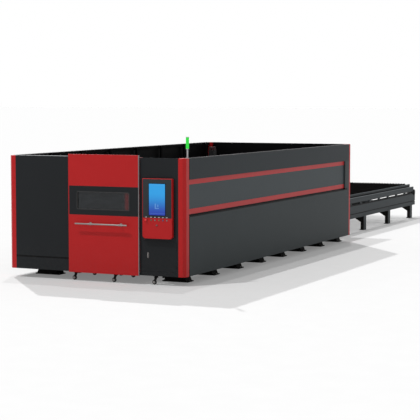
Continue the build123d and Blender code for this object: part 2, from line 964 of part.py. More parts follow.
with BuildPart() as gantry_trucks:
    with BuildSketch(Plane.XY.offset(guide_top)):
        with Locations(((truck_inner + truck_outer) / 2, beam_y)):
            Rectangle(truck_outer - truck_inner, truck_length)
    extrude(amount=truck_height)
    with BuildSketch(Plane.XY.offset(truck_top)):
        with Locations((truck_outer, beam_y + truck_length / 2)):
            Rectangle(motor_size, motor_size, align=(Align.MAX, Align.MAX))
    extrude(amount=motor_height)
    mirror(about=Plane.YZ)
gantry_trucks.part.label = "gantry_trucks"
export_step(gantry_trucks.part, "parts/gantry_trucks.step")

with BuildPart() as gantry_beam:
    with BuildSketch(Plane.YZ):
        with Locations((beam_y, truck_top + beam_height / 2)):
            Rectangle(beam_depth, beam_height)
    extrude(amount=beam_half_length, both=True)
    rear_edges = gantry_beam.edges().filter_by(Axis.X).group_by(Axis.Y)[-1]
    chamfer(rear_edges, length=beam_chamfer)
    with BuildSketch(Plane.YZ):
        for rail_z in (truck_top + beam_height * 0.2, truck_top + beam_height * 0.8):
            with Locations((beam_front, rail_z)):
                Rectangle(beam_rail, beam_rail * 2, align=(Align.MAX, Align.CENTER))
    extrude(amount=beam_half_length - beam_rail, both=True)
gantry_beam.part.label = "gantry_beam"
export_step(gantry_beam.part, "parts/gantry_beam.step")

plate_front = rail_face - carriage_plate
housing_front = plate_front - z_housing_depth

with BuildPart() as carriage:
    with BuildSketch(Plane.XZ.offset(-rail_face)):
        with Locations((carriage_x, truck_top + beam_height / 2)):
            Rectangle(carriage_width, carriage_height)
    extrude(amount=carriage_plate)
    with BuildSketch(Plane.XY.offset(z_housing_bottom)):
        with Locations((carriage_x, plate_front)):
            Rectangle(z_housing_width, z_housing_depth, align=(Align.CENTER, Align.MAX))
    extrude(amount=z_housing_top - z_housing_bottom)
carriage.part.label = "carriage"
export_step(carriage.part, "parts/carriage.step")

cap_offset = (z_housing_width - z_cap_width) / 2

with BuildPart() as z_drive_caps:
    for cap_side in (-1, 1):
        with BuildSketch(Plane.XY.offset(z_housing_top)):
            with Locations((carriage_x + cap_side * cap_offset, plate_front - z_housing_depth / 2)):
                Rectangle(z_cap_width, z_housing_depth - 2 * z_cap_inset)
        extrude(amount=z_cap_height)
z_drive_caps.part.label = "z_drive_caps"
export_step(z_drive_caps.part, "parts/z_drive_caps.step")

head_y = housing_front - head_slide_thickness - head_radius

with BuildPart() as cutting_head:
    with BuildSketch(Plane.XY.offset(head_slide_bottom)):
        with Locations((carriage_x, housing_front)):
            Rectangle(head_slide_width, head_slide_thickness, align=(Align.CENTER, Align.MAX))
    extrude(amount=head_slide_top - head_slide_bottom)
    with BuildSketch(Plane.XY.offset(head_slide_bottom)):
        with Locations((carriage_x, housing_front - head_slide_thickness)):
            Rectangle(head_radius, head_radius, align=(Align.CENTER, Align.MAX))
    extrude(amount=head_body_top - head_slide_bottom)
    with BuildSketch(Plane.XZ.offset(-head_y)):
        with BuildLine():
            Polyline(
                (carriage_x, nozzle_tip),
                (carriage_x + nozzle_tip_radius, nozzle_tip),
                (carriage_x + nozzle_tip_radius * 3, nozzle_tip + nozzle_tip_radius * 4),
                (carriage_x + nozzle_tip_radius * 3, head_body_bottom - nozzle_tip_radius * 4),
                (carriage_x + head_radius, head_body_bottom),
                (carriage_x + head_radius, head_body_top),
                (carriage_x, head_body_top),
                close=True,
            )
        make_face()
    revolve(axis=Axis((carriage_x, head_y, 0), (0, 0, 1)))
cutting_head.part.label = "cutting_head"
export_step(cutting_head.part, "parts/cutting_head.step")


# Rear wall, in four panels round the opening for the tables

rear_panel_front = rear - sheet_panel
rear_wall_side = half_width - post_width

with BuildPart() as rear_panels:
    with BuildSketch(Plane.XZ.offset(-rear)):
        with Locations((-rear_wall_side, rear_opening_top)):
            Rectangle(2 * rear_wall_side, enclosure_top - rear_opening_top, align=corner)
    extrude(amount=sheet_panel)
    with BuildSketch(Plane.XZ.offset(-rear)):
        with Locations((rear_opening_half_width, floor_gap)):
            Rectangle(
                rear_wall_side - rear_opening_half_width,
                rear_opening_top - floor_gap - panel_seam,
                align=corner,
            )
    extrude(amount=sheet_panel)
    with BuildSketch(Plane.XZ.offset(-rear)):
        with Locations((-rear_wall_side, floor_gap)):
            Rectangle(
                rear_wall_side - rear_opening_half_width,
                rear_opening_top - floor_gap - panel_seam,
                align=corner,
            )
    extrude(amount=sheet_panel)
    with BuildSketch(Plane.XZ.offset(-rear)):
        with Locations((panel_seam - rear_opening_half_width, floor_gap)):
            Rectangle(
                2 * (rear_opening_half_width - panel_seam),
                rear_opening_bottom - floor_gap,
                align=corner,
            )
    extrude(amount=sheet_panel)
rear_panels.part.label = "rear_panels"
export_step(rear_panels.part, "parts/rear_panels.step")


# Flat tracks for the two tables: wide shelves on the bed, narrow ones along the stand

track_end = stand_end - end_plate_thickness - 2 * sprocket_radius

with BuildPart() as table_tracks:
    for track_top in (upper_track_top, lower_track_top):
        with BuildSketch(Plane.XY.offset(track_top - track_thickness)):
            with Locations((track_inner, along(inside_track_front))):
                Rectangle(
                    bed_beam_inner - track_inner,
                    bed_rear - along(inside_track_front),
                    align=corner,
                )
            with Locations((track_inner, bed_rear)):
                Rectangle(track_outer - track_inner, track_end - bed_rear, align=corner)
        extrude(amount=track_thickness)
    mirror(about=Plane.YZ)
table_tracks.part.label = "table_tracks"
export_step(table_tracks.part, "parts/table_tracks.step")


# Two exchange tables with toothed slats

web_inner = table_web_outer - table_web
ledge_inner = web_inner - table_ledge
slat_length = 2 * (web_inner - slat_end_gap)
tooth_pitch = slat_length / tooth_count
slat_shoulder = slat_height - tooth_height

# One slat stands on its long edge, with its bottom edge on Z = 0
slat_outline = [(-slat_length / 2, 0), (-slat_length / 2, slat_shoulder)]
for tooth in range(tooth_count):
    tooth_left = -slat_length / 2 + tooth * tooth_pitch
    slat_outline.append((tooth_left + tooth_pitch / 2, slat_height))
    slat_outline.append((tooth_left + tooth_pitch, slat_shoulder))
slat_outline.append((slat_length / 2, 0))

with BuildPart() as slat:
    with BuildSketch(Plane.XZ):
        with BuildLine():
            Polyline(*slat_outline, close=True)
        make_face()
    extrude(amount=slat_thickness / 2, both=True)

for table_name, track_top, table_front in (
    ("upper_table", upper_track_top, along(upper_table_front)),
    ("lower_table", lower_track_top, along(upper_table_front) - table_travel),
):
    frame_bottom = track_top + table_lift
    ledge_top = frame_bottom + table_ledge_height
    table_middle = table_front + table_length / 2
    roller_pitch = (table_length - 4 * roller_radius) / (roller_count - 1)
    bar_pitch = (table_length - table_bar_width) / (table_bar_count - 1)

    with BuildPart() as table_frame:
        with BuildSketch(Plane.XZ.offset(-table_front)):
            with BuildLine():
                Polyline(
                    (ledge_inner, frame_bottom),
                    (table_web_outer, frame_bottom),
                    (table_web_outer, frame_bottom + table_web_height),
                    (web_inner, frame_bottom + table_web_height),
                    (web_inner, ledge_top),
                    (ledge_inner, ledge_top),
                    close=True,
                )
            make_face()
        extrude(amount=-table_length)
        for index in range(roller_count):
            roller_y = table_front + 2 * roller_radius + index * roller_pitch
            roller_z = track_top + roller_radius + running_gap
            with BuildSketch(Plane.YZ.offset(table_web_outer)):
                with Locations((roller_y, roller_z)):
                    Circle(roller_axle_radius)
            extrude(amount=track_outer - roller_width - table_web_outer)
            with BuildSketch(Plane.YZ.offset(track_outer - roller_width - 2)):
                with Locations((roller_y, roller_z)):
                    Circle(roller_radius)
            extrude(amount=roller_width)
        mirror(about=Plane.YZ)
        with BuildSketch(Plane.YZ):
            for index in range(table_bar_count):
                bar_y = table_front + table_bar_width / 2 + index * bar_pitch
                with Locations((bar_y, frame_bottom)):
                    Rectangle(
                        table_bar_width,
                        table_ledge_height,
                        align=(Align.CENTER, Align.MIN),
                    )
        extrude(amount=ledge_inner - running_gap, both=True)
    table_frame.part.label = f"{table_name}_frame"
    export_step(table_frame.part, f"parts/{table_name}_frame.step")

    with BuildPart() as table_slats:
        with Locations((0, table_middle, ledge_top)):
            with GridLocations(slat_pitch, slat_pitch, 1, slat_count):
                add(slat.part)
    table_slats.part.label = f"{table_name}_slats"
    export_step(table_slats.part, f"parts/{table_name}_slats.step")


# Pallet stand: slotted side frames on legs, with a bearing at the end, cross tubes, an end plate

shaft_y = stand_end - shaft_from_end

with BuildPart() as stand_sides:
    with BuildSketch(Plane.XZ.offset(-rear)):
        with BuildLine():
            Polyline(
                (stand_half_width - stand_beam_width, stand_beam_bottom),
                (stand_half_width, stand_beam_bottom),
                (stand_half_width, stand_beam_top),
                (stand_half_width - stand_groove_depth, stand_beam_top),
                (stand_half_width - stand_groove_depth, stand_plate_bottom),
                (stand_half_width, stand_plate_bottom),
                (stand_half_width, stand_plate_top),
                (stand_half_width - stand_band_inset, stand_plate_top),
                (stand_half_width - stand_band_inset, stand_rail_bottom),
                (stand_half_width, stand_rail_bottom),
                (stand_half_width, stand_rail_top),
                (stand_half_width - stand_plate_width, stand_rail_top),
                (stand_half_width - stand_plate_width, stand_beam_top),
                (stand_half_width - stand_beam_width, stand_beam_top),
                close=True,
            )
        make_face()
    extrude(amount=-stand_length)
    with BuildSketch(Plane.YZ.offset(stand_half_width - stand_beam_width)):
        for index in range(slot_count):
            with Locations((rear + slot_first + index * slot_pitch, slot_bottom)):
                Rectangle(slot_length, slot_height, align=corner)
    extrude(amount=stand_beam_width, mode=Mode.SUBTRACT)
    with BuildSketch(Plane.YZ.offset(stand_half_width - stand_beam_width)):
        with Locations((stand_end - stand_rail_from_end, slot_bottom)):
            Rectangle(stand_rail_from_end, stand_rail_top - slot_bottom, align=corner)
    extrude(amount=stand_beam_width, mode=Mode.SUBTRACT)
    with BuildSketch(Plane.YZ.offset(stand_half_width - stand_plate_width)):
        with Locations((shaft_y, shaft_height)):
            Circle(bearing_radius)
    extrude(amount=stand_plate_width - stand_band_inset)
    with BuildSketch(Plane.YZ.offset(stand_half_width - stand_beam_width)):
        with Locations((shaft_y, shaft_height)):
            Circle(shaft_radius + bore_clearance)
    extrude(amount=stand_beam_width, mode=Mode.SUBTRACT)
    mirror(about=Plane.YZ)
stand_sides.part.label = "stand_sides"
export_step(stand_sides.part, "parts/stand_sides.step")

leg_ys = [rear + leg_first + index * leg_pitch for index in range(leg_count)]

with BuildPart() as stand_legs:
    for leg_y in leg_ys:
        with BuildSketch(Plane.XY):
            with Locations((stand_half_width, leg_y)):
                Rectangle(
                    leg_width + 2 * leg_pad,
                    leg_depth + 2 * leg_pad,
                    align=(Align.MAX, Align.CENTER),
                )
        extrude(amount=leg_pad)
        with BuildSketch(Plane.XY.offset(leg_pad)):
            with Locations((stand_half_width, leg_y)):
                Rectangle(leg_width, leg_depth, align=(Align.MAX, Align.CENTER))
        extrude(amount=stand_beam_bottom - leg_pad)
        with BuildSketch(Plane.XZ.offset(-(leg_y - gusset_thickness / 2))):
            with BuildLine():
                Polyline(
                    (stand_half_width - leg_width, stand_beam_bottom - gusset_height),
                    (stand_half_width - leg_width, stand_beam_bottom),
                    (stand_half_width - leg_width - gusset_reach, stand_beam_bottom),
                    (stand_half_width - leg_width - gusset_reach, stand_beam_bottom - gusset_toe),
                    close=True,
                )
            make_face()
        extrude(amount=-gusset_thickness)
    mirror(about=Plane.YZ)
stand_legs.part.label = "stand_legs"
export_step(stand_legs.part, "parts/stand_legs.step")

with BuildPart() as stand_cross_tubes:
    cross_reach = stand_half_width - stand_beam_width
    for leg_y in leg_ys:
        with BuildSketch(Plane.YZ):
            with Locations((leg_y, stand_beam_bottom)):
                Rectangle(cross_tube_size, cross_tube_size, align=(Align.CENTER, Align.MIN))
        extrude(amount=cross_reach, both=True)
    with BuildSketch(Plane.XZ.offset(-(stand_end - end_plate_thickness))):
        with Locations((-cross_reach, stand_beam_bottom)):
            Rectangle(2 * cross_reach, end_plate_top - stand_beam_bottom, align=corner)
    extrude(amount=-end_plate_thickness)
stand_cross_tubes.part.label = "stand_cross_tubes"
export_step(stand_cross_tubes.part, "parts/stand_cross_tubes.step")

with BuildPart() as exchange_shaft:
    with BuildSketch(Plane.YZ):
        with Locations((shaft_y, shaft_height)):
            Circle(shaft_radius)
    extrude(amount=stand_half_width - stand_band_inset, both=True)
    for sprocket_side in (-1, 1):
        sprocket_plane = Plane.YZ.offset(sprocket_side * sprocket_x - sprocket_thickness / 2)
        with BuildSketch(sprocket_plane):
            with Locations((shaft_y, shaft_height)):
                Circle(sprocket_root_radius)
                with PolarLocations(sprocket_root_radius, sprocket_teeth):
                    RegularPolygon(sprocket_radius - sprocket_root_radius, 3)
        extrude(amount=sprocket_thickness)
exchange_shaft.part.label = "exchange_shaft"
export_step(exchange_shaft.part, "parts/exchange_shaft.step")
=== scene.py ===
import json
import math
import random

import bmesh
import bpy
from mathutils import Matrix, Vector


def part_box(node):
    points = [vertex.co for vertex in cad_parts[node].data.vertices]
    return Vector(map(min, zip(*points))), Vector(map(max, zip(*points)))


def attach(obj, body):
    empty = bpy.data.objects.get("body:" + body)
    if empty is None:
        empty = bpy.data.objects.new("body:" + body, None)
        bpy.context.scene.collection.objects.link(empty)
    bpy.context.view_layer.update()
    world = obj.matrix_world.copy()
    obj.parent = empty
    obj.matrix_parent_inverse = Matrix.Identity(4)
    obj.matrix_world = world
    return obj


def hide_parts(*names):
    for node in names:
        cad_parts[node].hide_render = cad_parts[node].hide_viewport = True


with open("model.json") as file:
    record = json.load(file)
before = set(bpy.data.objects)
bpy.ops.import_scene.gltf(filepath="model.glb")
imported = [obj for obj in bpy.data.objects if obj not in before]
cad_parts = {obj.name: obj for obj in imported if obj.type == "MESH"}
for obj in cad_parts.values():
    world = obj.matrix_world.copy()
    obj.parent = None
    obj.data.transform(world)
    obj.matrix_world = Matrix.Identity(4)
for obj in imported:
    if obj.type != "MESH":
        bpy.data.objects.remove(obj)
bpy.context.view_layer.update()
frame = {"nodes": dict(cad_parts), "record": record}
nodes = frame["nodes"]

# The looks of a sheet metal laser cutter. Lengths are in metres in the frame of the CAD model: the
# operator stands at -Y and looks along +Y, +X is to the right, and the floor is Z = 0.


def tint(red, green, blue):
    """A colour given as screen values from 0 to 255."""
    parts = [value / 255 for value in (red, green, blue)]
    linear = [p / 12.92 if p <= 0.04045 else ((p + 0.055) / 1.055) ** 2.4 for p in parts]
    return (*linear, 1.0)


def scaled(colour, factor):
    """The colour made lighter or darker by a factor."""
    return (*[min(1.0, part * factor) for part in colour[:3]], 1.0)


RED = tint(178, 24, 26)
CASE_BLACK = tint(35, 37, 39)
SIDE_GREY = tint(55, 61, 63)
# Painted shade for the side panels above the recess
UPPER_SHADE_GREY = tint(46, 51, 54)
# Painted light for the back of the long recess
RECESS_LIGHT_GREY = tint(70, 76, 79)
# Near black for inner faces, frames and seams, and also used as painted shade in gaps, grooves and
# on the leg fronts.
INNER_BLACK = tint(4, 4, 5)
BED_GREY = tint(12, 13, 14)
STAND_GREY = tint(58, 63, 66)
FOOT_BLACK = tint(9, 9, 10)
GANTRY_GREY = tint(96, 100, 102)
FASCIA_GREY = tint(40, 46, 50)
BARE_STEEL = tint(120, 120, 118)
DUST = tint(110, 107, 100)
SOOT = tint(20, 18, 16)


class Value:
    """A socket of a shader tree. Sums written with it add their own Math nodes."""

    def __init__(self, finish, socket):
        self.finish = finish
        self.socket = socket

    def __add__(self, other):
        return self.finish.maths("ADD", self, other)

    def __radd__(self, other):
        return self.finish.maths("ADD", other, self)

    def __sub__(self, other):
        return self.finish.maths("SUBTRACT", self, other)

    def __rsub__(self, other):
        return self.finish.maths("SUBTRACT", other, self)

    def __mul__(self, other):
        return self.finish.maths("MULTIPLY", self, other)

    def __rmul__(self, other):
        return self.finish.maths("MULTIPLY", other, self)

    def __truediv__(self, other):
        return self.finish.maths("DIVIDE", self, other)

    def __rtruediv__(self, other):
        return self.finish.maths("DIVIDE", other, self)

    def __gt__(self, other):
        return self.finish.maths("GREATER_THAN", self, other)

    def __lt__(self, other):
        return self.finish.maths("LESS_THAN", self, other)

    def __abs__(self):
        return self.finish.maths("ABSOLUTE", self)


class Finish:
    """One material of the machine, or the sky round it, built up from nodes."""

    def __init__(self, name, holder=None):
        self.material = holder or bpy.data.materials.new(name)
        self.material.use_nodes = True
        self.tree = self.material.node_tree
        self.tree.nodes.clear()

    def add(self, kind, settings=None, inputs=None, output=0):
        """Adds a node: its settings first, then its inputs, given as numbers or as Values."""
        node = self.tree.nodes.new(kind)
        for name, setting in (settings or {}).items():
            setattr(node, name, setting)
        for key, given in (inputs or {}).items():
            if isinstance(given, Value):
                self.tree.links.new(given.socket, node.inputs[key])
            else:
                node.inputs[key].default_value = given
        return Value(self, node.outputs[output])

    def maths(self, operation, *values):
        return self.add("ShaderNodeMath", {"operation": operation}, dict(enumerate(values)))

    def spot(self):
        """The place on the piece, in the machine's own frame."""
        return self.add("ShaderNodeTexCoord", output="Object")

    def part(self, vector, axis):
        """One number of a vector: X, Y or Z."""
        return self.add("ShaderNodeSeparateXYZ", inputs={0: vector}, output=axis)

    def stretched(self, vector, scale):
        """A place scaled along each axis, so that a noise runs in lines."""
        return self.add("ShaderNodeVectorMath", {"operation": "MULTIPLY"}, {0: vector, 1: scale})

    def noise(self, vector, scale, detail=2.0, roughness=0.5):
        """Soft noise round 0.5. The scale is in patches a metre."""
        inputs = {"Vector": vector, "Scale": scale, "Detail": detail, "Roughness": roughness}
        return self.add("ShaderNodeTexNoise", inputs=inputs)

    def rise(self, value, low, high):
        """0 below low, 1 above high, smooth between."""
        inputs = {"Value": value, "From Min": low, "From Max": high}
        return self.add("ShaderNodeMapRange", {"interpolation_type": "SMOOTHSTEP"}, inputs)

    def blend(self, below, above, mask):
        """Colour below where mask is 0, colour above where it is 1."""
        # A Mix node has sockets of one name for each kind of data, so the colours go by number.
        return self.add("ShaderNodeMix", {"data_type": "RGBA"}, {0: mask, 6: below, 7: above}, 2)

    def facing(self, axis):
        """How far the surface looks along an axis, from -1 to 1."""
        normal = self.add("ShaderNodeNewGeometry", output="Normal")
        return self.part(normal, axis)

    def corners(self, radius):
        """Near 1 along sharp outer and inner corners, 0 on flats."""
        rounded = self.add("ShaderNodeBevel", {"samples": 4}, {"Radius": radius})
        normal = self.add("ShaderNodeNewGeometry", output="Normal")
        along = self.add("ShaderNodeVectorMath", {"operation": "DOT_PRODUCT"},
                         {0: rounded, 1: normal}, "Value")
        flat, sharp = 0.02, 0.22
        return self.rise(1 - along, flat, sharp)

    def surface(self, colour, roughness, bump=None, depth=0.0005, **shader):
        """The closing shader. Bump is a height from 0 to 1 and depth its size in metres."""
        inputs = {"Base Color": colour, "Roughness": roughness}
        inputs.update({key.replace("_", " "): given for key, given in shader.items()})
        if bump is not None:
            height = {"Height": bump, "Distance": depth}
            inputs["Normal"] = self.add("ShaderNodeBump", inputs=height)
        return self.close(self.add("ShaderNodeBsdfPrincipled", inputs=inputs))

    def seen_directly(self):
        """1 where the camera, a mirror or a glass looks, 0 for light on its way."""
        kinds = ("Is Camera Ray", "Is Glossy Ray", "Is Transmission Ray")
        seen, glossy, through = [self.add("ShaderNodeLightPath", output=kind) for kind in kinds]
        return self.maths("MINIMUM", seen + glossy + through, 1.0)

    def close(self, shade, kind="ShaderNodeOutputMaterial"):
        """Links the last shader to the output."""
        out = self.tree.nodes.new(kind)
        self.tree.links.new(shade.socket, out.inputs["Surface"])
        return self.material


def paint(name, colour, roughness=0.42, chips=0.6, dust=0.25, texture=0.3, zones=(), shine=0.2):
    """Powder coat: soft tone changes, fine grain, dust low down and chips on the corners.

    Each zone is a colour and a function that gives the mask where it lies. Some zones are painted
    shade or painted light."""
    finish = Finish(name)
    spot = finish.spot()
    tone = finish.noise(spot, 1.3, 3)
    patch = finish.noise(spot, 17, 5, 0.65)
    grain = finish.noise(spot, 350, 2)
    height = finish.part(spot, "Z")
    chip = finish.rise(finish.corners(0.002) * patch, 0.42, 0.55) * chips
    dusty = (1 - finish.rise(height, 0.1, 0.9)) * finish.rise(patch, 0.3, 0.8) * dust
    shade = finish.blend(scaled(colour, 0.94), scaled(colour, 1.06), tone)
    for zone_colour, mask in zones:
        shade = finish.blend(shade, zone_colour, mask(finish, spot))
    shade = finish.blend(shade, DUST, dusty * 0.5)
    shade = finish.blend(shade, BARE_STEEL, chip)
    rough = roughness + patch * 0.1 + dusty * 0.3 - chip * 0.1
    return finish.surface(shade, rough, grain * texture - chip, 0.0004, Metallic=chip * 0.8,
                          Specular_IOR_Level=shine)


def metal(name, colour, roughness=0.3, grain=(1, 1, 1), soil=0.3, soil_colour=SOOT, metallic=1.0):
    """Bare metal with a direction of grain, and dirt in dull patches."""
    finish = Finish(name)
    spot = finish.spot()
    lines = finish.noise(finish.stretched(spot, grain), 90, 3, 0.7)
    patch = finish.noise(spot, 9, 5, 0.65)
    dirt = finish.rise(patch, 0.5, 0.8) * soil
    shade = finish.blend(scaled(colour, 0.85), scaled(colour, 1.1), lines)
    shade = finish.blend(shade, soil_colour, dirt)
    rough = roughness + lines * 0.12 + dirt * 0.35
    return finish.surface(shade, rough, lines, 0.0002, Metallic=metallic - dirt * 0.7)


def slat_finish():
    """Laser cut slats: blue and straw heat marks at the tips, slag and soot below."""
    finish = Finish("slat_steel")
    spot = finish.spot()
    patch = finish.noise(spot, 26, 4, 0.7)
    broad = finish.noise(spot, 2.1, 3)
    height = finish.part(spot, "Z")
    marked, over, between = 0.030, 0.001, 0.8
    upper_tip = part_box("upper_table_slats")[1].z
    lower_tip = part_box("lower_table_slats")[1].z
    upper = finish.rise(height, upper_tip - marked, upper_tip + over)
    upper = upper * finish.rise(height, between, between + 0.02)
    lower = finish.rise(height, lower_tip - marked, lower_tip + over)
    lower = lower * (1 - finish.rise(height, between - 0.05, between))
    heat = finish.rise((upper + lower) * (0.6 + patch * 0.8), 0.2, 1.0)
    shade = finish.blend(tint(8, 8, 8), tint(16, 15, 14), broad)
    shade = finish.blend(shade, tint(5, 5, 5), finish.rise(patch, 0.5, 0.75))
    shade = finish.blend(shade, tint(54, 46, 38), finish.rise(heat, 0.1, 0.5) * 0.3)
    shade = finish.blend(shade, tint(26, 30, 42), finish.rise(heat, 0.55, 0.95) * 0.5)
    return finish.surface(shade, 0.6 + patch * 0.3, patch, 0.0008, Specular_IOR_Level=0.04)


def plastic(name, colour, roughness=0.3, coat=0.2):
    """Moulded plastic with finger marks and a fine grain."""
    finish = Finish(name)
    spot = finish.spot()
    smudge = finish.noise(spot, 60, 4, 0.6)
    grain = finish.noise(spot, 900, 1)
    shade = finish.blend(scaled(colour, 0.9), scaled(colour, 1.08), smudge)
    return finish.surface(shade, roughness + smudge * 0.15, grain, 0.00005, Coat_Weight=coat)


def rubber(name, colour):
    """Dull rubber, scuffed and dusty in patches."""
    finish = Finish(name)
    spot = finish.spot()
    scuff = finish.noise(spot, 120, 5, 0.7)
    shade = finish.blend(colour, DUST, finish.rise(scuff, 0.45, 0.9) * 0.35)
    return finish.surface(shade, 0.65 + scuff * 0.25, scuff, 0.0003)


def safety_glass():
    """Dark laser safety glass that shows a little of what is behind it, with the lit red jamb
    behind its right end painted into its colour as painted light.
    """
    finish = Finish("window_glass")
    spot = finish.spot()
    smear = finish.noise(finish.stretched(spot, (2, 2, 7)), 3, 4, 0.6)
    shade = finish.blend(tint(24, 28, 31), tint(38, 42, 46), finish.rise(smear, 0.35, 0.8))
    # Painted light: a lit red band near the right end of the glass stands in for the jamb behind
    # it, which lies in shade.
    jamb_left, soft, jamb_right = 0.115, 0.020, 0.03
    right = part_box("door_window")[1].x
    across = finish.part(spot, "X")
    painted_jamb = finish.rise(across, right - jamb_left, right - jamb_left + soft)
    painted_jamb = painted_jamb * (across < right - jamb_right)
    shade = finish.blend(shade, tint(112, 26, 30), painted_jamb * 0.55)
    haze = 0.06 + finish.rise(smear, 0.4, 0.9) * 0.1
    return finish.surface(shade, haze, smear, 0.0001, Alpha=0.86 + smear * 0.06,
                          Specular_IOR_Level=0.35)


def screen_finish():
    """A lit display: a blue field with a plain drawing of cut parts and two thin lines.

    Places on the display are shares of its width and height."""
    low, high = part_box("hmi_screen")
    finish = Finish("screen")
    spot = finish.spot()
    across = (finish.part(spot, "X") - low.x) / (high.x - low.x)
    up = (finish.part(spot, "Z") - low.z) / (high.z - low.z)
    field = finish.blend(tint(44, 66, 168), tint(50, 158, 226), finish.rise(up, 0.0, 0.75))

    def bar(left, right, bottom, top):
        sides = (across > left) * (across < right)
        return sides * (up > bottom) * (up < top)

    drawing = bar(0.36, 0.43, 0.2, 0.37) + bar(0.43, 0.62, 0.2, 0.23)
    drawing = drawing + bar(0.52, 0.58, 0.26, 0.34)
    line = bar(0.06, 0.94, 0.955, 0.965) + bar(0.06, 0.94, 0.05, 0.058)
    shade = finish.blend(field, tint(120, 170, 222), drawing * 0.5)
    shade = finish.blend(shade, tint(110, 170, 224), line * 0.4)
    smudge = finish.noise(spot, 40, 3)
    return finish.surface(tint(4, 5, 8), 0.2 + smudge * 0.12, smudge, 0.00002,
                          Emission_Color=shade, Emission_Strength=1.0, Specular_IOR_Level=0.15)


def lens_finish():
    """The green lens of the signal lamp, lit from inside."""
    finish = Finish("lamp_green")
    spot = finish.spot()
    cloud = finish.noise(spot, 30, 2)
    glow = finish.blend(tint(8, 190, 30), tint(36, 238, 66), cloud)
    return finish.surface(tint(12, 130, 36), 0.15 + cloud * 0.1, cloud, 0.0001,
                          Emission_Color=glow, Emission_Strength=0.75)


# Edges of the face inside the long recess of the side walls, which is painted lighter as painted
# light
RECESS_BOTTOM, RECESS_TOP = 1.250, 1.885


def inside_cabinet(finish, spot):
    """The inner faces of the side walls and of the rear wall."""
    wall_depth, skin = 0.04, 0.001
    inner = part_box("side_panels")[1].x - wall_depth
    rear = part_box("rear_panels")[1].y - skin
    return (abs(finish.part(spot, "X")) < inner) * (finish.part(spot, "Y") < rear)


def recess_face(finish, spot):
    """Painted light: the back of the long recess painted lighter, as it catches more light than
    the panels.
    """
    least_depth, most_depth = 0.02, 0.04
    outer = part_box("side_panels")[1].x
    across = abs(finish.part(spot, "X"))
    height = finish.part(spot, "Z")
    return ((across < outer - least_depth) * (across > outer - most_depth)
            * (height > RECESS_BOTTOM) * (height < RECESS_TOP))


def side_shadow_lines(finish, spot):
    """Painted shade: a black line at the front post and a black strip below the lower stripe,
    where the gaps there lie in shadow.
    """
    strip_bottom, strip_top, strip_end, post_shadow_width = 1.222, 1.2705, 0.11, 0.03
    low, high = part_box("side_panels")
    height, along = finish.part(spot, "Z"), finish.part(spot, "Y")
    strip = (height > strip_bottom) * (height < strip_top) * (along < high.y - strip_end)
    return finish.maths("MINIMUM", strip + (along < low.y + post_shadow_width), 1.0)


def upper_panels_shade(finish, spot):
    """Painted shade: the panels above the recess a little darker than those below."""
    return finish.part(spot, "Z") > RECESS_TOP


def skirt_seam(finish, spot):
    """The dark seam across the left front panel, above its skirt."""
    seam_height, half_width, right_end = 0.4, 0.014, -0.55
    seam = abs(finish.part(spot, "Z") - seam_height) < half_width
    return seam * (finish.part(spot, "X") < right_end)


def leg_fronts_shade(finish, spot):
    """Painted shade on the faces of the stand's legs that look at the machine."""
    towards_machine, leg_top = -0.9, 0.356
    front = finish.facing("Y") < towards_machine
    return front * (finish.part(spot, "Z") < leg_top)


def stand_groove_shade(finish, spot):
    """Painted shade in the grooves and joints between the beams, plates and rails of the stand and
    of the upper table.
    """
    side_face, web_inner, web_outer = 1.13, 1.05, 1.08
    beam_joint, slot_joint, rail_joint, web_joint = (
        (0.452, 0.474), (0.660, 0.684), (0.731, 0.742), (0.855, 0.882))
    height = finish.part(spot, "Z")
    across = abs(finish.part(spot, "X"))

    def between(low, high):
        return (height > low) * (height < high)

    outside = (across > side_face) * (between(*beam_joint) + between(*slot_joint)
                                      + between(*rail_joint))
    web = (across > web_inner) * (across < web_outer) * between(*web_joint)
    return finish.maths("MINIMUM", outside + web, 1.0)


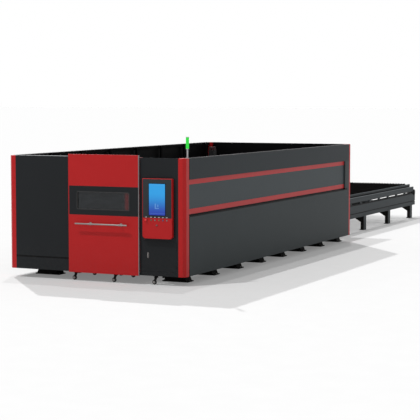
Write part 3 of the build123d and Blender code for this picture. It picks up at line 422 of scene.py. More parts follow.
FINISHES = {
    "red_paint": paint("red_paint", RED, 0.38, chips=0.4, dust=0.12),
    "black_paint": paint("black_paint", CASE_BLACK, 0.42, chips=0.35, dust=0.1, shine=0.08,
                         zones=[(INNER_BLACK, skirt_seam)]),
    # The grey paint's zones include painted shade and painted light on the side walls.
    "grey_paint": paint("grey_paint", SIDE_GREY, 0.42, chips=0.35, dust=0.1, shine=0.06, zones=[
        (UPPER_SHADE_GREY, upper_panels_shade), (RECESS_LIGHT_GREY, recess_face), (INNER_BLACK, side_shadow_lines),
        (INNER_BLACK, inside_cabinet)]),
    "bed_paint": paint("bed_paint", BED_GREY, 0.6, chips=0.6, dust=0.6, texture=0.8),
    # The stand's zones are painted shade: black on the leg faces that look at the machine, and in
    # its grooves.
    "stand_paint": paint("stand_paint", STAND_GREY, 0.5, chips=0.7, dust=0.2, texture=0.5,
                         shine=0.08, zones=[(INNER_BLACK, leg_fronts_shade),
                                            (INNER_BLACK, stand_groove_shade)]),
    "foot_black": paint("foot_black", FOOT_BLACK, 0.6, chips=0.4, dust=0.2, texture=0.8,
                        shine=0.06),
    "gantry_grey": paint("gantry_grey", GANTRY_GREY, 0.4, chips=0.5, dust=0.2),
    "fascia_grey": paint("fascia_grey", FASCIA_GREY, 0.5, chips=0.2, dust=0.0),
    "frame_black": paint("frame_black", INNER_BLACK, 0.6, chips=0.2, dust=0.0, shine=0.04),
    "carriage_black": paint("carriage_black", tint(14, 14, 15), 0.5, chips=0.3, dust=0.1),
    "cap_red": paint("cap_red", tint(46, 8, 14), 0.5, chips=0.3, dust=0.1),
    "ground_steel": metal("ground_steel", tint(178, 180, 182), 0.24, (6, 1, 6)),
    "raw_steel": metal("raw_steel", tint(112, 110, 108), 0.45, (2, 1, 2), soil=0.6),
    "slat_steel": slat_finish(),
    "satin_steel": metal("satin_steel", tint(142, 138, 136), 0.38, (1, 8, 8), soil=0.06,
                         soil_colour=DUST, metallic=0.5),
    "dark_steel": metal("dark_steel", tint(92, 82, 82), 0.45, (4, 4, 4), soil=0.2,
                        soil_colour=DUST, metallic=0.5),
    "copper": metal("copper", tint(170, 98, 62), 0.3, (1, 1, 6), soil=0.25),
    "edge_aluminium": metal("edge_aluminium", tint(130, 126, 128), 0.4, (8, 8, 1), soil=0.05,
                            soil_colour=DUST, metallic=0.3),
    "head_aluminium": metal("head_aluminium", tint(190, 192, 194), 0.28, (1, 1, 8), soil=0.1),
    "window_glass": safety_glass(),
    "screen": screen_finish(),
    "lamp_grey": plastic("lamp_grey", tint(172, 176, 178), 0.4),
    "lamp_green": lens_finish(),
    "button_red": plastic("button_red", tint(226, 24, 34)),
    "button_green": plastic("button_green", tint(34, 96, 58)),
    "button_white": plastic("button_white", tint(132, 120, 124)),
    "button_yellow": plastic("button_yellow", tint(140, 112, 40)),
    "button_blue": plastic("button_blue", tint(50, 62, 128)),
    "caster_rubber": rubber("caster_rubber", tint(34, 34, 35)),
}

# Every node of the CAD model gets the finish of its slot, and a few a darker one of their own.
for entry in frame["record"]["subparts"]:
    nodes[entry["node"]].data.materials[0] = FINISHES[entry["material_slot"]]
for node, name in (("button_bezels", "dark_steel"), ("wall_frames", "frame_black"),
                   ("carriage", "carriage_black"), ("z_drive_caps", "cap_red")):
    nodes[node].data.materials[0] = FINISHES[name]


def circle(count, radius, phase=0.0):
    """Points spread evenly round a circle. The phase is a share of the step between them."""
    for k in range(count):
        turn = 2 * math.pi * (k + phase) / count
        yield radius * math.cos(turn), radius * math.sin(turn)


def beside(side, inner, outer):
    """The left and right X of a span on the machine's right (side 1) or left (side -1)."""
    return sorted((side * inner, side * outer))


class Piece:
    """One piece of the machine, gathered from simple forms in the machine's own frame."""

    def __init__(self, name):
        self.name = name
        self.mesh = bmesh.new()

    def loop(self, points):
        return [self.mesh.verts.new(point) for point in points]

    def band(self, first, second):
        """Faces that join two loops with as many points."""
        for k in range(len(first)):
            n = (k + 1) % len(first)
            self.mesh.faces.new((first[k], first[n], second[n], second[k]))

    def skin(self, loops):
        """Joins loop after loop, and closes both ends."""
        for first, second in zip(loops, loops[1:]):
            self.band(first, second)
        self.mesh.faces.new(list(reversed(loops[0])))
        self.mesh.faces.new(loops[-1])

    def block(self, low, high, edge=0.0):
        """A box between two corners, with rounded edges where a radius is given."""
        low, high = Vector(low), Vector(high)
        made = bmesh.ops.create_cube(self.mesh, size=1)["verts"]
        for vert in made:
            vert.co = Vector([low[i] + (vert.co[i] + 0.5) * (high[i] - low[i]) for i in range(3)])
        if edge:
            edges = list({e for vert in made for e in vert.link_edges})
            bmesh.ops.bevel(self.mesh, geom=edges, offset=edge, segments=2, profile=0.5,
                            affect="EDGES")

    def turned(self, start, direction, profile, sides=24):
        """A turned form. The profile lists (distance along the direction, radius)."""
        least_radius = 1e-5
        start, axis = Vector(start), Vector(direction).normalized()
        side = axis.orthogonal().normalized()
        other = axis.cross(side)
        self.skin([self.loop([start + axis * reach + side * a + other * b
                              for a, b in circle(sides, max(radius, least_radius))])
                   for reach, radius in profile])

    def rod(self, start, end, radius, sides=20, edge=0.0):
        """A round bar, with chamfered ends where an edge is given."""
        start, end = Vector(start), Vector(end)
        length = (end - start).length
        profile = [(0, radius), (length, radius)]
        if edge:
            profile = [(0, radius - edge), (edge, radius), (length - edge, radius),
                       (length, radius - edge)]
        self.turned(start, end - start, profile, sides)

    def bolt(self, at, outward, across=0.018, washer=True):
        """A hexagon head with its washer, seated at a point."""
        washer_height, washer_radius = across * 0.12, across * 0.72
        head_top, head_radius, crown_radius = across * 0.52, across * 0.56, across * 0.47
        if washer:
            self.turned(at, outward, [(0, washer_radius), (washer_height, washer_radius)], 16)
        self.turned(at, outward, [(0, head_radius), (head_top * 0.85, head_radius),
                                  (head_top, crown_radius)], 6)

    def plate(self, outline, depth):
        """A flat outline of points pushed along a vector."""
        depth = Vector(depth)
        self.skin([self.loop([Vector(point) for point in outline]),
                   self.loop([Vector(point) + depth for point in outline])])

    def ring(self, sides, width, near, far, radius):
        """A flat frame with round corners, between Y = near and Y = far."""
        steps, least_bend = 6, 0.001
        left, right, bottom, top = sides
        loops = []
        for inset in (0.0, width):
            bend = max(radius - inset, least_bend)
            # The middle of each corner's arc, and its first direction in half turns
            corners = ((right - inset - bend, bottom + inset + bend, -0.5),
                       (right - inset - bend, top - inset - bend, 0.0),
                       (left + inset + bend, top - inset - bend, 0.5),
                       (left + inset + bend, bottom + inset + bend, 1.0))
            path = []
            for x, z, start in corners:
                for k in range(steps + 1):
                    turn = math.pi * (start + 0.5 * k / steps)
                    path.append((x + bend * math.cos(turn), z + bend * math.sin(turn)))
            for y in (near, far):
                loops.append(self.loop([(x, y, z) for x, z in path]))
        outer_near, outer_far, inner_near, inner_far = loops
        self.band(outer_near, outer_far)
        self.band(inner_far, inner_near)
        self.band(inner_near, outer_near)
        self.band(outer_far, inner_far)

    def hose(self, points, radius):
        """A round hose through points, bent smoothly."""
        sides, steps = 10, 6
        knots = [Vector(point) for point in points]
        path = []
        for k in range(len(knots) - 1):
            a = knots[max(k - 1, 0)]
            b, c = knots[k], knots[k + 1]
            d = knots[min(k + 2, len(knots) - 1)]
            for step in range(steps):
                t = step / steps
                path.append(0.5 * ((2 * b) + (c - a) * t + (2 * a - 5 * b + 4 * c - d) * t * t
                                   + (3 * b - a - 3 * c + d) * t * t * t))
        path.append(knots[-1])
        side = (path[1] - path[0]).normalized().orthogonal().normalized()
        loops = []
        for k, point in enumerate(path):
            ahead = (path[min(k + 1, len(path) - 1)] - path[max(k - 1, 0)]).normalized()
            side = (side - ahead * side.dot(ahead)).normalized()
            other = ahead.cross(side)
            loops.append(self.loop([point + side * a + other * b
                                    for a, b in circle(sides, radius)]))
        self.skin(loops)

    def place(self, body, slot, replaces=(), smooth=35, finish=None):
        """Makes the object, gives it its finish and lets it ride on its body.

        Corners of more degrees than smooth stay sharp."""
        bmesh.ops.recalc_face_normals(self.mesh, faces=self.mesh.faces)
        data = bpy.data.meshes.new(self.name)
        self.mesh.to_mesh(data)
        self.mesh.free()
        for polygon in data.polygons:
            polygon.use_smooth = True
        data.set_sharp_from_angle(angle=math.radians(smooth))
        data.materials.append(FINISHES[finish or slot])
        piece = bpy.data.objects.new(self.name, data)
        bpy.context.scene.collection.objects.link(piece)
        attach(piece, body)
        if replaces:
            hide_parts(*replaces)


def toothed_slats(name, body, node):
    """The slats of one table, with fine teeth that are worn unevenly."""
    count, teeth, thickness = 62, 26, 0.006
    tooth_height, half_foot, wear, uneven = 0.032, 0.3, 0.004, 0.002
    narrow_tip, wide_tip = 0.003, 0.006
    low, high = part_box(node)
    pitch = (high.y - low.y - thickness) / (count - 1)
    step = (high.x - low.x) / teeth
    valley = high.z - tooth_height
    rng = random.Random(62)
    slats = Piece(name)
    for k in range(count):
        y = low.y + k * pitch
        outline = [(high.x, y, low.z), (low.x, y, low.z), (low.x, y, valley)]
        for tooth in range(teeth):
            middle = low.x + (tooth + 0.5) * step
            tip = high.z - rng.uniform(0.0, wear)
            flat = rng.uniform(narrow_tip, wide_tip)
            foot = step * half_foot
            outline.append((middle - foot, y, valley + rng.uniform(-uneven, uneven)))
            outline.append((middle - flat, y, tip))
            outline.append((middle + flat, y, tip))
            outline.append((middle + foot, y, valley + rng.uniform(-uneven, uneven)))
        outline.append((high.x, y, valley))
        slats.plate(outline, (0, thickness, 0))
    slats.place(body, "slat_steel", replaces=[node])


def table_slats():
    """The toothed slats of both exchange tables."""
    toothed_slats("upper_slats_toothed", "upper_table", "upper_table_slats")
    toothed_slats("lower_slats_toothed", "lower_table", "lower_table_slats")


def signal_lens():
    """The green lens with fine upright ribs and rounded ends."""
    sides, rib, edge, edge_height = 72, 0.0015, 0.002, 0.004
    low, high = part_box("stack_light_lens")
    middle = (low + high) / 2
    widest = (high.x - low.x) / 2
    lens = Piece("ribbed_lens")
    loops = []
    for z, inset in ((low.z, edge), (low.z + edge_height, 0.0),
                     (high.z - edge_height, 0.0), (high.z, edge)):
        points = []
        for k in range(sides):
            turn = 2 * math.pi * k / sides
            radius = widest - inset - (rib if k % 2 else 0.0)
            points.append((middle.x + radius * math.cos(turn),
                           middle.y + radius * math.sin(turn), z))
        loops.append(lens.loop(points))
    lens.skin(loops)
    lens.place("root", "lamp_green", replaces=["stack_light_lens"], smooth=20)


def screen_bezel():
    """A thin rim round the lit screen."""
    rim, proud = 0.008, 0.002
    low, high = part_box("hmi_screen")
    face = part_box("hmi_fascia")[0].y
    front = min(low.y, face) - proud
    bezel = Piece("screen_bezel")
    for left, right, bottom, top in ((low.x - rim, low.x, low.z - rim, high.z + rim),
                                     (high.x, high.x + rim, low.z - rim, high.z + rim),
                                     (low.x, high.x, low.z - rim, low.z),
                                     (low.x, high.x, high.z, high.z + rim)):
        bezel.block((left, front, bottom), (right, face, top), 0.001)
    bezel.place("root", "foot_black")


def panel_fascia():
    """The dark face of the control panel, as wide as its housing allows."""
    left_margin, right_margin = 0.012, 0.009
    low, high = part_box("hmi_fascia")
    housing_low, housing_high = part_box("hmi_housing")
    fascia = Piece("panel_fascia")
    fascia.block((housing_low.x + left_margin, low.y, low.z),
                 (housing_high.x - right_margin, high.y, high.z), 0.002)
    fascia.place("root", "fascia_grey", replaces=["hmi_fascia"])


def stop_mushroom():
    """The stop button: a stem, and a domed head with room under it for its travel."""
    low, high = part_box("stop_button")
    middle = (low + high) / 2
    stop = Piece("stop_mushroom")
    stop.turned((middle.x, high.y, middle.z), (0, -1, 0), [
        (0, 0.0105), (0.0255, 0.0105), (0.0265, 0.017), (0.0285, 0.0205), (0.033, 0.0215),
        (0.040, 0.0205), (0.045, 0.0165), (0.0472, 0.0095), (0.048, 0.0)], 40)
    stop.place("stop_button", "button_red", replaces=["stop_button"])


def control_marks():
    """A small plain light bar above the stop button and above each push button."""
    half_width, bottom, top = 0.017, 0.003, 0.017
    proud, sunk = 0.001, 0.003
    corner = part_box("hmi_fascia")[0]
    marks = Piece("control_marks")
    for node in ["stop_button"] + [f"push_button_{k}" for k in range(1, 6)]:
        middle = sum(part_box(node), Vector()) / 2
        marks.block((middle.x - half_width, corner.y - proud, corner.z + bottom),
                    (middle.x + half_width, corner.y + sunk, corner.z + top), 0.0005)
    marks.place("root", "lamp_grey")


def wall_strips():
    """Thin edge strips along the tops of the front panels and the side walls."""
    width, height = 0.004, 0.003
    front_inset, inner_inset, outer_inset = 0.002, 0.048, 0.0015
    front = Piece("front_top_strips")
    for node in ("front_panels_left", "front_panels_right"):
        low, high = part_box(node)
        front.block((low.x, low.y + front_inset, high.z),
                    (high.x, low.y + front_inset + width, high.z + height))
    front.place("root", "fascia_grey")
    low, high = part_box("side_panels")
    inner, outer = high.x - inner_inset, high.x - outer_inset
    walls = Piece("wall_top_strips")
    for side in (1, -1):
        for near, far in ((outer - width, outer), (inner, inner + width)):
            left, right = beside(side, near, far)
            walls.block((left, low.y, high.z), (right, high.y, high.z + height))
    walls.place("root", "edge_aluminium")


def bar_handle():
    """The bar with rounded ends, its brackets, clamp rings and flange screws."""
    radius, axis_inset, post_radius = 0.014, 0.021, 0.0105
    left_bracket, right_bracket, half_clamp = 0.288, 0.154, 0.02
    flange_height, screw_circle = 0.004, 0.021
    low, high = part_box("door_handle")
    height = (low.z + high.z) / 2
    axis_y = low.y + axis_inset
    length = high.x - low.x
    handle = Piece("bar_handle")
    handle.turned((low.x, axis_y, height), (1, 0, 0), [
        (0, 0.007), (0.002, 0.012), (0.006, radius), (length - 0.006, radius),
        (length - 0.002, 0.012), (length, 0.007)], 28)
    for x in (low.x + left_bracket, high.x - right_bracket):
        handle.rod((x, axis_y, height), (x, high.y, height), post_radius)
        handle.turned((x - half_clamp, axis_y, height), (1, 0, 0), [
            (0, 0.0155), (0.001, 0.0175), (0.039, 0.0175), (0.04, 0.0155)], 28)
        handle.turned((x, high.y, height), (0, -1, 0), [
            (0, 0.028), (flange_height, 0.028), (0.007, 0.014), (0.008, post_radius)], 28)
        for across, up in circle(4, screw_circle, 0.5):
            handle.turned((x + across, high.y - flange_height, height + up), (0, -1, 0), [
                (0, 0.0038), (0.0015, 0.0038), (0.0022, 0.0025)], 8)
    handle.place("door", "satin_steel", replaces=["door_handle"])


def window_lip():
    """The rubber lip round the window, with a thin flange on the face of the door."""
    inset, width, radius, flange, thickness = 0.014, 0.006, 0.018, 0.009, 0.003
    low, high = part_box("door_window")
    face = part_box("door_band")[0].y
    lip = Piece("window_lip")
    for rim, near, far in ((flange, face - thickness, face), (0.0, face, low.y)):
        lip.ring((low.x + inset - rim, high.x - inset + rim,
                  low.z + inset - rim, high.z - inset + rim),
                 width + rim, near, far, radius + rim)
    lip.place("door", "caster_rubber")


def hanger_bolts():
    """The bolts that hold the hangers of the door."""
    end, spread, sunk = 0.035, 0.022, 0.005
    low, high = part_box("door_hangers")
    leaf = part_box("door_leaf")[1]
    bolts = Piece("hanger_bolts")
    for x in (low.x + end, high.x - end):
        for shift in (-spread, spread):
            for y in (leaf.y + 0.010, high.y - 0.012):
                bolts.bolt((x + shift, y, leaf.z - sunk), (0, 0, 1), 0.008)
    bolts.place("door", "raw_steel")


def casters():
    """Wheels with a rounded tread and capped bearings, and the axle, race and seat of each."""
    trail, cap_sunk, axle_height = 0.035, 0.002, 0.004
    race_bottom, seat_bottom, plate_bottom, plate_top = 0.126, 0.1445, 0.1535, 0.1585
    half_length, half_width = 0.048, 0.042
    up = (0, 0, 1)
    for number in range(1, 6):
        wheel, fork = f"caster_wheel_{number}", f"caster_fork_{number}"
        low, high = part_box(wheel)
        middle = (low + high) / 2
        wide, radius = high.y - low.y, (high.z - low.z) / 2
        # Half the tyre's profile, from the bore out to the tread
        half = [(0.002, 0.0065), (0.002, 0.022), (0.004, 0.025), (0.004, 0.031),
                (0.001, 0.034), (0.002, radius - 0.003), (0.006, radius - 0.0006),
                (0.010, radius)]
        tyre = Piece(f"caster_tyre_{number}")
        tyre.turned((middle.x, low.y, middle.z), (0, 1, 0),
                    half + [(wide - reach, far) for reach, far in reversed(half)], 36)
        tyre.place(wheel, "caster_rubber", replaces=[wheel])
        caps = Piece(f"caster_cap_{number}")
        for way, y in ((-1, low.y + cap_sunk), (1, high.y - cap_sunk)):
            caps.turned((middle.x, y, middle.z), (0, way, 0), [
                (-0.001, 0.021), (0.0005, 0.021), (0.0015, 0.016), (0.0015, 0.0075)], 24)
        caps.place(wheel, "satin_steel")
        fork_low, fork_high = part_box(fork)
        axle = Piece(f"caster_axle_{number}")
        for way, y in ((-1, fork_low.y), (1, fork_high.y)):
            axle.turned((middle.x, y, middle.z), (0, way, 0), [
                (-0.001, 0.021), (0.002, 0.021), (axle_height, 0.017)], 24)
            axle.bolt((middle.x, y + way * axle_height, middle.z), (0, way, 0), 0.012)
        axle.place(fork, "satin_steel")
        pivot = middle.x + trail
        race = Piece(f"caster_race_{number}")
        race.turned((pivot, middle.y, race_bottom), up, [
            (0, 0.030), (0.004, 0.0415), (0.012, 0.0415), (0.018, 0.033)], 28)
        race.place(fork, "foot_black")
        seat = Piece(f"caster_seat_{number}")
        seat.block((pivot - half_length, middle.y - half_width, plate_bottom),
                   (pivot + half_length, middle.y + half_width, plate_top), 0.001)
        seat.turned((pivot, middle.y, seat_bottom), up, [(0, 0.030), (0.009, 0.036)], 28)
        seat.place("root", "foot_black")


def cabinet_latch():
    """An oval cup with a narrow lever that turns in front of it."""
    cup_width, cup_depth, cup_radius = 0.0035, 0.005, 0.015
    half_lever, lever_front, lever_back = 0.0065, 0.0125, 0.006
    low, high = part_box("cabinet_latch")
    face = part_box("control_cabinet")[0].y
    middle_x, pivot = (low.x + high.x) / 2, high.z - cup_radius
    cup = Piece("latch_cup")
    cup.ring((low.x, high.x, low.z, high.z), cup_width, face - cup_depth, face, cup_radius)
    cup.place("cabinet_door", "satin_steel")
    lever = Piece("latch_lever")
    lever.block((middle_x - half_lever, face - lever_front, low.z + 0.010),
                (middle_x + half_lever, face - lever_back, high.z - 0.008), 0.002)
    lever.rod((middle_x, face - lever_front - 0.001, pivot), (middle_x, face, pivot), 0.0085,
              edge=0.001)
    lever.place("cabinet_latch", "satin_steel", replaces=["cabinet_latch"])


def control_gear():
    """What the low cabinet holds: a back plate, rows of switchgear and slotted ducts."""
    margin, rows, plate_thickness = 0.03, 3, 0.003
    duct_margin, duct_depth, duct_height = 0.02, 0.05, 0.035
    row_start, row_end, handle_depth, half_handle = 0.04, 0.1, 0.006, 0.008
    low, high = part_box("control_cabinet")
    left, right = low.x + margin, high.x - margin
    bottom, top = low.z + margin, high.z - margin
    back = high.y - margin
    front = back - plate_thickness
    plate = Piece("gear_plate")
    plate.block((left, front, bottom), (right, back, top), 0.001)
    ducts = Piece("wiring_ducts")
    blocks = Piece("switchgear")
    rng = random.Random(7)
    step = (top - bottom) / rows
    for row in range(rows):
        height = bottom + step * (row + 0.55)
        duct_bottom = height - step * 0.5
        ducts.block((left + duct_margin, back - duct_depth, duct_bottom),
                    (right - duct_margin, front, duct_bottom + duct_height), 0.002)
        x = left + row_start
        while x < right - row_end:
            wide = rng.choice((0.018, 0.018, 0.036, 0.054, 0.072))
            tall = rng.choice((0.08, 0.08, 0.095))
            deep = rng.choice((0.055, 0.065, 0.09))
            blocks.block((x, back - deep, height - tall / 2),
                         (x + wide - 0.001, front, height + tall / 2), 0.0015)
            blocks.block((x + wide * 0.3, back - deep - handle_depth, height - half_handle),
                         (x + wide * 0.6, back - deep, height + half_handle), 0.001)
            x += wide
    plate.place("root", "fascia_grey")
    ducts.place("root", "lamp_grey")
    blocks.place("root", "foot_black")


def cabinet_seal():
    """The rubber seal round the opening of the low cabinet, behind its door."""
    width, radius, side_margin, rim_margin = 0.012, 0.006, 0.002, 0.029
    near, far = 0.0205, 0.027
    low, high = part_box("control_cabinet")
    door_low, door_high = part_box("cabinet_door")
    seal = Piece("cabinet_seal")
    seal.ring((door_low.x - side_margin, door_high.x - side_margin,
               low.z + rim_margin, high.z - rim_margin),
              width, low.y + near, low.y + far, radius)
    seal.place("root", "caster_rubber")


def foot_bolts():
    """An anchor bolt in the toe of each bed foot, and two jack bolts near the bed."""
    rows, first_foot, foot_top = 8, 0.12, 0.02
    anchor_inset, jack_inset, jack_spread = 0.02, 0.504, 0.08
    low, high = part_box("bed_feet")
    pitch = (high.y - low.y - 2 * first_foot) / (rows - 1)
    bolts = Piece("foot_bolts")
    for k in range(rows):
        y = low.y + first_foot + k * pitch
        for side in (1, -1):
            bolts.bolt((side * (high.x - anchor_inset), y, foot_top), (0, 0, 1), 0.018)
            for shift in (-jack_spread, jack_spread):
                bolts.bolt((side * (high.x - jack_inset), y + shift, foot_top), (0, 0, 1), 0.016)
    bolts.place("root", "raw_steel")


def rear_wall_bolts():
    """Bolts along the edges of the rear wall and round the opening for the tables."""
    size, backward = 0.012, (0, 1, 0)
    edge_inset, edge_bottom, edge_pitch = 0.025, 0.25, 0.325
    opening_x, opening_bottom, opening_pitch, opening_top = 1.27, 0.22, 0.145, 1.21
    top_inset, top_pitch, lintel_pitch = 0.03, 0.2, 0.165
    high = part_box("rear_panels")[1]
    wall = Piece("rear_wall_bolts")
    for side in (1, -1):
        for k in range(7):
            wall.bolt((side * (high.x - edge_inset), high.y, edge_bottom + k * edge_pitch),
                      backward, size)
            wall.bolt((side * opening_x, high.y, opening_bottom + k * opening_pitch),
                      backward, size)
    for k in range(-7, 8):
        wall.bolt((k * top_pitch, high.y, high.z - top_inset), backward, size)
        wall.bolt((k * lintel_pitch, high.y, opening_top), backward, size)
    wall.place("root", "raw_steel")


def bearing_covers():
    """Round covers over the shaft's bearings on the stand's sides, with six bolts each."""
    seated, thickness, bolt_circle = 0.001, 0.013, 0.062
    low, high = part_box("exchange_shaft")
    y, z = (low.y + high.y) / 2, (low.z + high.z) / 2
    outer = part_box("stand_sides")[1].x - seated
    covers = Piece("bearing_covers")
    nuts = Piece("bearing_bolts")
    for side in (1, -1):
        outward = (side, 0, 0)
        covers.turned((side * outer, y, z), outward, [
            (0, 0.0838), (0.010, 0.0838), (thickness, 0.080), (thickness, 0.046),
            (0.0135, 0.03), (0.0135, 0.01)], 40)
        for along, up in circle(6, bolt_circle):
            nuts.bolt((side * (outer + thickness), y + along, z + up), outward, 0.010,
                      washer=False)
    covers.place("root", "foot_black")
    nuts.place("root", "raw_steel")


def stand_bolts():
    """Four bolts through the flange of each leg of the stand."""
    first_leg, leg_pitch, spread = 0.1095, 1.995, 0.06
    low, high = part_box("stand_legs")
    flange = Piece("stand_bolts")
    for k in range(4):
        y = low.y + first_leg + k * leg_pitch
        for side in (1, -1):
            for shift in (-spread, spread):
                for height in (0.385, 0.43):
                    flange.bolt((side * high.x, y + shift, height), (side, 0, 0), 0.016)
    flange.place("root", "stand_paint")


def tread_plates():
    """Floor plates behind the door and ahead of the tables, with raised lozenges."""
    thickness, pitch, first, raised = 0.004, 0.062, 0.035, 0.0015
    half_length, half_width = 0.010, 0.003
    gap, wall_gap, front_gap = 0.02, 0.05, 0.03
    half_rear, rear_reach, joint = 1.2, 0.28, 0.001
    low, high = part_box("front_base")
    bed_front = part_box("bed_side_beams")[0].y - gap
    cabinet_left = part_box("control_cabinet")[0].x - gap
    top = high.z + thickness
    front_plate = (low.x + wall_gap, cabinet_left, low.y + front_gap, bed_front)
    rear_plate = (-half_rear, half_rear, bed_front + joint, high.y + rear_reach)
    plates = Piece("tread_plates")
    for left, right, near, far in (front_plate, rear_plate):
        plates.block((left, near, high.z), (right, far, top), 0.001)
        columns, rows = int((right - left) / pitch), int((far - near) / pitch)
        for row in range(rows):
            for column in range(columns):
                x, y = left + first + column * pitch, near + first + row * pitch
                slope = 1 if (row + column) % 2 else -1
                long_way, short_way = half_length * slope, half_width * slope
                plates.plate([(x - half_length, y - long_way, top), (x, y - short_way, top),
                              (x + half_length, y + long_way, top), (x, y + short_way, top)],
                             (0, 0, raised))
    plates.place("root", "raw_steel", smooth=20)


def scrap_trays():
    """Seven sheet trays on runners, which stand on the floor under the bed."""
    half_width, sheet, floor, rim = 1.05, 0.003, 0.035, 0.14
    count, gap, pitch, length = 7, 0.06, 1.1, 1.07
    half_runner, runner_inset, runner_spread = 0.02, 0.05, 0.9
    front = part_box("front_base")[1].y + gap
    trays = Piece("scrap_trays")
    for k in range(count):
        near = front + k * pitch
        far = near + length
        trays.block((-half_width, near, floor), (half_width, far, floor + sheet))
        trays.block((-half_width, near, floor), (half_width, near + sheet, rim))
        trays.block((-half_width, far - sheet, floor), (half_width, far, rim))
        for edge in (-half_width, half_width - sheet):
            trays.block((edge, near, floor), (edge + sheet, far, rim))
        for x in (-runner_spread, 0.0, runner_spread):
            trays.block((x - half_runner, near + runner_inset, 0.0),
                        (x + half_runner, far - runner_inset, floor), 0.003)
    trays.place("root", "bed_paint")


def stand_ducts():
    """A cable duct behind the slots near the cabinet, and a lip behind the slots beyond it."""
    plate, gap, duct_depth, lip_depth = 0.05, 0.0005, 0.040, 0.014
    duct_bottom, duct_top, duct_end = 0.600, 0.742, 3.05
    lip_bottom, lip_top, lip_end = 0.660, 0.700, 7.1
    clamps, first_clamp, clamp_width, clamp_pitch = 6, 0.06, 0.04, 0.58
    clamp_depth, clamp_edge = 0.001, 0.002
    low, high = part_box("stand_sides")
    inner = high.x - plate
    duct = Piece("stand_ducts")
    for side in (1, -1):
        near, far = beside(side, inner - duct_depth, inner - gap)
        duct.block((near, low.y + 0.01, duct_bottom), (far, low.y + duct_end, duct_top), 0.002)
        for k in range(clamps):
            y = low.y + first_clamp + k * clamp_pitch
            duct.block((near - clamp_depth, y, duct_bottom - clamp_edge),
                       (far, y + clamp_width, duct_top + clamp_edge), 0.001)
        near, far = beside(side, inner - lip_depth, inner - gap)
        duct.block((near, low.y + duct_end, lip_bottom), (far, low.y + lip_end, lip_top), 0.001)
    duct.place("root", "foot_black")


def sprocket_shaft():
    """The shaft with a hub and a toothed wheel for the chain near each end."""
    journal, teeth, place_x = 0.0244, 16, 1.04
    half_wheel, half_hub, bolt_circle = 0.006, 0.02, 0.046
    low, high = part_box("exchange_shaft")
    y, z = (low.y + high.y) / 2, (low.z + high.z) / 2
    outer = (high.z - low.z) / 2
    # Points of one tooth: the share of its step, and the radius there
    tooth = ((0.0, outer - 0.0115), (0.2, outer - 0.009), (0.36, outer - 0.0005),
             (0.46, outer - 0.0005), (0.62, outer - 0.009))
    shaft = Piece("shaft_and_sprockets")
    shaft.rod((low.x, y, z), (high.x, y, z), journal, 40, edge=0.001)
    for side in (1, -1):
        middle = side * place_x
        outline = []
        for k in range(teeth):
            for share, radius in tooth:
                turn = 2 * math.pi * (k + share) / teeth
                outline.append((middle - half_wheel, y + radius * math.cos(turn),
                                z + radius * math.sin(turn)))
        shaft.plate(outline, (2 * half_wheel, 0, 0))
        shaft.turned((middle - half_hub, y, z), (1, 0, 0), [
            (0, 0.034), (0.002, 0.036), (0.038, 0.036), (0.04, 0.034)], 32)
        for along, up in circle(4, bolt_circle, 0.5):
            shaft.bolt((middle + half_wheel, y + along, z + up), (1, 0, 0), 0.009)
    shaft.place("exchange_shaft", "raw_steel", replaces=["exchange_shaft"])


def roller_tyres():
    """Steel tyres on the rollers of both tables."""
    count, first, inset, axle_height = 6, 0.07, 0.0385, 0.035
    for body in ("upper_table", "lower_table"):
        low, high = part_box(f"{body}_frame")
        pitch = (high.y - low.y - 2 * first) / (count - 1)
        tyres = Piece(f"{body}_tyres")
        for side in (1, -1):
            for k in range(count):
                seat = (side * (high.x - inset), low.y + first + k * pitch, low.z + axle_height)
                tyres.turned(seat, (side, 0, 0), [
                    (0, 0.012), (0, 0.0335), (0.0015, 0.0352), (0.0375, 0.0352),
                    (0.039, 0.0335), (0.0392, 0.026), (0.0388, 0.012)], 32)
        tyres.place(body, "raw_steel")


def rack_teeth():
    """The teeth of the racks along both guide rails."""
    pitch, height, end_gap = 0.0157, 0.026, 0.01
    back, root, tip = -0.001, 0.0005, 0.005
    low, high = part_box("gantry_rails")
    start = low.y + end_gap
    count = int((high.y - low.y - 2 * end_gap) / pitch)
    teeth = Piece("rack_teeth")
    for side in (1, -1):
        outline = [(side * (high.x + back), start, low.z)]
        for k in range(count):
            for share, reach in ((0.0, root), (0.3, tip), (0.6, tip), (0.9, root)):
                outline.append((side * (high.x + reach), start + (k + share) * pitch, low.z))
        outline.append((side * (high.x + back), start + count * pitch, low.z))
        teeth.plate(outline, (0, 0, height))
    teeth.place("root", "raw_steel", smooth=20)


def drive_fins():
    """Cooling fins and a cap on the drive of each end truck."""
    fins_count, lowest, pitch, thickness = 9, 0.165, 0.016, 0.007
    size, proud, cap_inset, cap_near, cap_height = 0.123, 0.003, 0.115, 0.005, 0.02
    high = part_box("gantry_trucks")[1]
    fins = Piece("drive_fins")
    for side in (1, -1):
        near, far = beside(side, high.x - size, high.x + proud)
        for k in range(fins_count):
            z = high.z - lowest + k * pitch
            fins.block((near, high.y - size, z), (far, high.y + proud, z + thickness), 0.001)
        near, far = beside(side, high.x - cap_inset, high.x - cap_near)
        fins.block((near, high.y - cap_inset, high.z),
                   (far, high.y - cap_near, high.z + cap_height), 0.006)
    fins.place("gantry", "fascia_grey")


def beam_chain():
    """The cable chain that lies along the top of the gantry's beam."""
    links, start, pitch, length = 34, 0.12, 0.05, 0.046
    front, back, bottom, top = 0.13, 0.05, 0.002, 0.042
    rib_start, rib_end, rib_side, rib_bottom, rib_top = 0.012, 0.034, 0.004, 0.001, 0.045
    low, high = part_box("gantry_beam")
    chain = Piece("beam_cable_chain")
    for k in range(links):
        x = low.x + start + k * pitch
        chain.block((x, high.y - front, high.z + bottom),
                    (x + length, high.y - back, high.z + top), 0.004)
        chain.block((x + rib_start, high.y - front - rib_side, high.z + rib_bottom),
                    (x + rib_end, high.y - back + rib_side, high.z + rib_top), 0.003)
    chain.place("gantry", "foot_black")


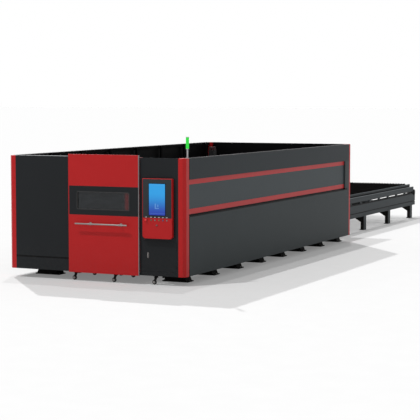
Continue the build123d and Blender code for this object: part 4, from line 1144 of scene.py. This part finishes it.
def beam_ends():
    """A plate with four bolts on each end of the gantry's beam."""
    sunk, thickness = 0.001, 0.008
    side_margin, bottom_margin, top_margin = 0.03, 0.01, 0.03
    bolt_side, bolt_bottom, bolt_top = 0.07, 0.05, 0.08
    low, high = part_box("gantry_beam")
    ends = Piece("beam_end_plates")
    for side in (1, -1):
        near, far = beside(side, high.x - sunk, high.x + thickness)
        ends.block((near, low.y + side_margin, low.z + bottom_margin),
                   (far, high.y - side_margin, high.z - top_margin), 0.002)
        for y in (low.y + bolt_side, high.y - bolt_side):
            for z in (low.z + bolt_bottom, high.z - bolt_top):
                ends.bolt((side * (high.x + thickness), y, z), (side, 0, 0), 0.016)
    ends.place("gantry", "fascia_grey")


def head_details():
    """Copper nozzle, white ceramic ring, lens drawer, fittings and hoses of the cutting head."""
    low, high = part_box("cutting_head")
    x, y = (low.x + high.x) / 2, low.y + 0.048
    up = (0, 0, 1)
    # Side, height of the fitting, and how far the hose climbs beyond its first bend
    hose_ways = ((1, 0.29, 0.10), (-1, 0.37, 0.09))
    nozzle = Piece("copper_nozzle")
    nozzle.turned((x, y, low.z), up, [
        (0, 0.0045), (0.0005, 0.0066), (0.012, 0.0128), (0.024, 0.0185), (0.034, 0.0185),
        (0.035, 0.0182)], 32)
    nozzle.place("cutting_head", "head_aluminium", finish="copper")
    ring = Piece("ceramic_ring")
    ring.turned((x, y, low.z + 0.036), up, [
        (0, 0.0184), (0.002, 0.023), (0.012, 0.023), (0.014, 0.0184)], 32)
    ring.place("cutting_head", "lamp_grey")
    half_drawer, drawer_z, knob = 0.056, 0.197, 0.014
    parts = Piece("head_fittings")
    parts.block((x - half_drawer, low.y + 0.012, low.z + 0.18),
                (x + half_drawer, low.y + 0.084, low.z + 0.215), 0.003)
    parts.rod((x - half_drawer, y, low.z + drawer_z),
              (x - half_drawer - knob, y, low.z + drawer_z), 0.011, edge=0.002)
    for z in (0.26, 0.33, 0.42):
        parts.turned((x, y, low.z + z), up, [
            (0, 0.0482), (0.001, 0.0505), (0.009, 0.0505), (0.010, 0.0482)], 40)
    for side, z, _ in hose_ways:
        parts.rod((x + side * 0.045, y, low.z + z), (x + side * 0.066, y, low.z + z), 0.007, 6)
    parts.place("cutting_head", "raw_steel")
    hoses = Piece("head_hoses")
    for side, z, climb in hose_ways:
        start, height = x + side * 0.064, low.z + z
        hoses.hose([(start, y, height), (start + side * 0.02, y, height + 0.01),
                    (start + side * 0.03, y + 0.01, height + 0.06),
                    (start + side * 0.005, y + 0.03, height + 0.06 + climb),
                    (x + side * 0.03, high.y - 0.035, high.z - 0.12)], 0.005)
    hoses.place("cutting_head", "caster_rubber")


for build in (table_slats, signal_lens, screen_bezel, panel_fascia, stop_mushroom, control_marks,
              wall_strips, bar_handle, window_lip, hanger_bolts, casters, cabinet_latch,
              control_gear, cabinet_seal, foot_bolts, rear_wall_bolts, bearing_covers,
              stand_bolts, tread_plates, scrap_trays, stand_ducts, sprocket_shaft, roller_tyres,
              rack_teeth, drive_fins, beam_chain, beam_ends, head_details):
    build()


def even_light(finish, kind, strength):
    """White light of one strength, as a glow of the floor or of the sky."""
    return finish.add(kind, inputs={"Color": (1, 1, 1, 1), "Strength": strength})


def pale_floor():
    """The floor. Seen directly, it is lifted a little, so that its shadows stay soft."""
    reach = 400
    finish = Finish("floor_pale")
    spot = finish.spot()
    mottle = finish.noise(spot, 2.5, 3)
    shade = finish.blend(tint(194, 194, 194), tint(198, 198, 198), mottle)
    plain = finish.add("ShaderNodeBsdfDiffuse", inputs={"Color": shade})
    darker = finish.blend(tint(181, 181, 181), tint(185, 185, 185), mottle)
    matt = finish.add("ShaderNodeBsdfDiffuse", inputs={"Color": darker})
    lift = even_light(finish, "ShaderNodeEmission", 0.19)
    lifted = finish.add("ShaderNodeAddShader", inputs={0: matt, 1: lift})
    seen = {0: finish.seen_directly(), 1: plain, 2: lifted}
    finish.close(finish.add("ShaderNodeMixShader", inputs=seen))
    data = bpy.data.meshes.new("floor")
    data.from_pydata([(-reach, -reach, 0), (reach, -reach, 0), (reach, reach, 0),
                      (-reach, reach, 0)], [], [(0, 1, 2, 3)])
    data.materials.append(finish.material)
    floor = bpy.data.objects.new("floor", data)
    bpy.context.scene.collection.objects.link(floor)


def white_sky():
    """A dim even light from all round, which looks white where it is seen directly."""
    world = bpy.data.worlds.new("studio")
    bpy.context.scene.world = world
    sky = Finish("studio", world)
    dim = even_light(sky, "ShaderNodeBackground", 0.47)
    white = even_light(sky, "ShaderNodeBackground", 1.0)
    both = sky.add("ShaderNodeMixShader", inputs={0: sky.seen_directly(), 1: dim, 2: white})
    sky.close(both, "ShaderNodeOutputWorld")


def sun(name, travel, strength):
    """A lamp as far off as the sun, with the way that its light travels."""
    lamp = bpy.data.lights.new(name, "SUN")
    lamp.energy = strength
    lamp.angle = math.radians(1)
    holder = bpy.data.objects.new(name, lamp)
    holder.rotation_euler = Vector(travel).to_track_quat("-Z", "Y").to_euler()
    bpy.context.scene.collection.objects.link(holder)


def photograph_camera():
    """The camera in front of the machine and to its right, looking slightly down."""
    tilt, turn = 4.488, 24.818
    lens = bpy.data.cameras.new("camera")
    lens.lens = 122.36
    lens.sensor_width = 36
    lens.clip_end = 600
    camera = bpy.data.objects.new("camera", lens)
    camera.location = (12.7429, -30.584, 3.3345)
    camera.rotation_euler = (math.radians(90 - tilt), 0, math.radians(turn))
    bpy.context.scene.collection.objects.link(camera)
    bpy.context.scene.camera = camera


pale_floor()
white_sky()
sun("sun_front_left", (0.32, 0.42, -1.0), 1.66)
sun("sun_back_left", (0.80, -0.90, -1.0), 2.75)
sun("sun_overhead", (0.15, -0.38, -1.0), 0.64)
photograph_camera()
bpy.context.scene.view_settings.view_transform = "Standard"
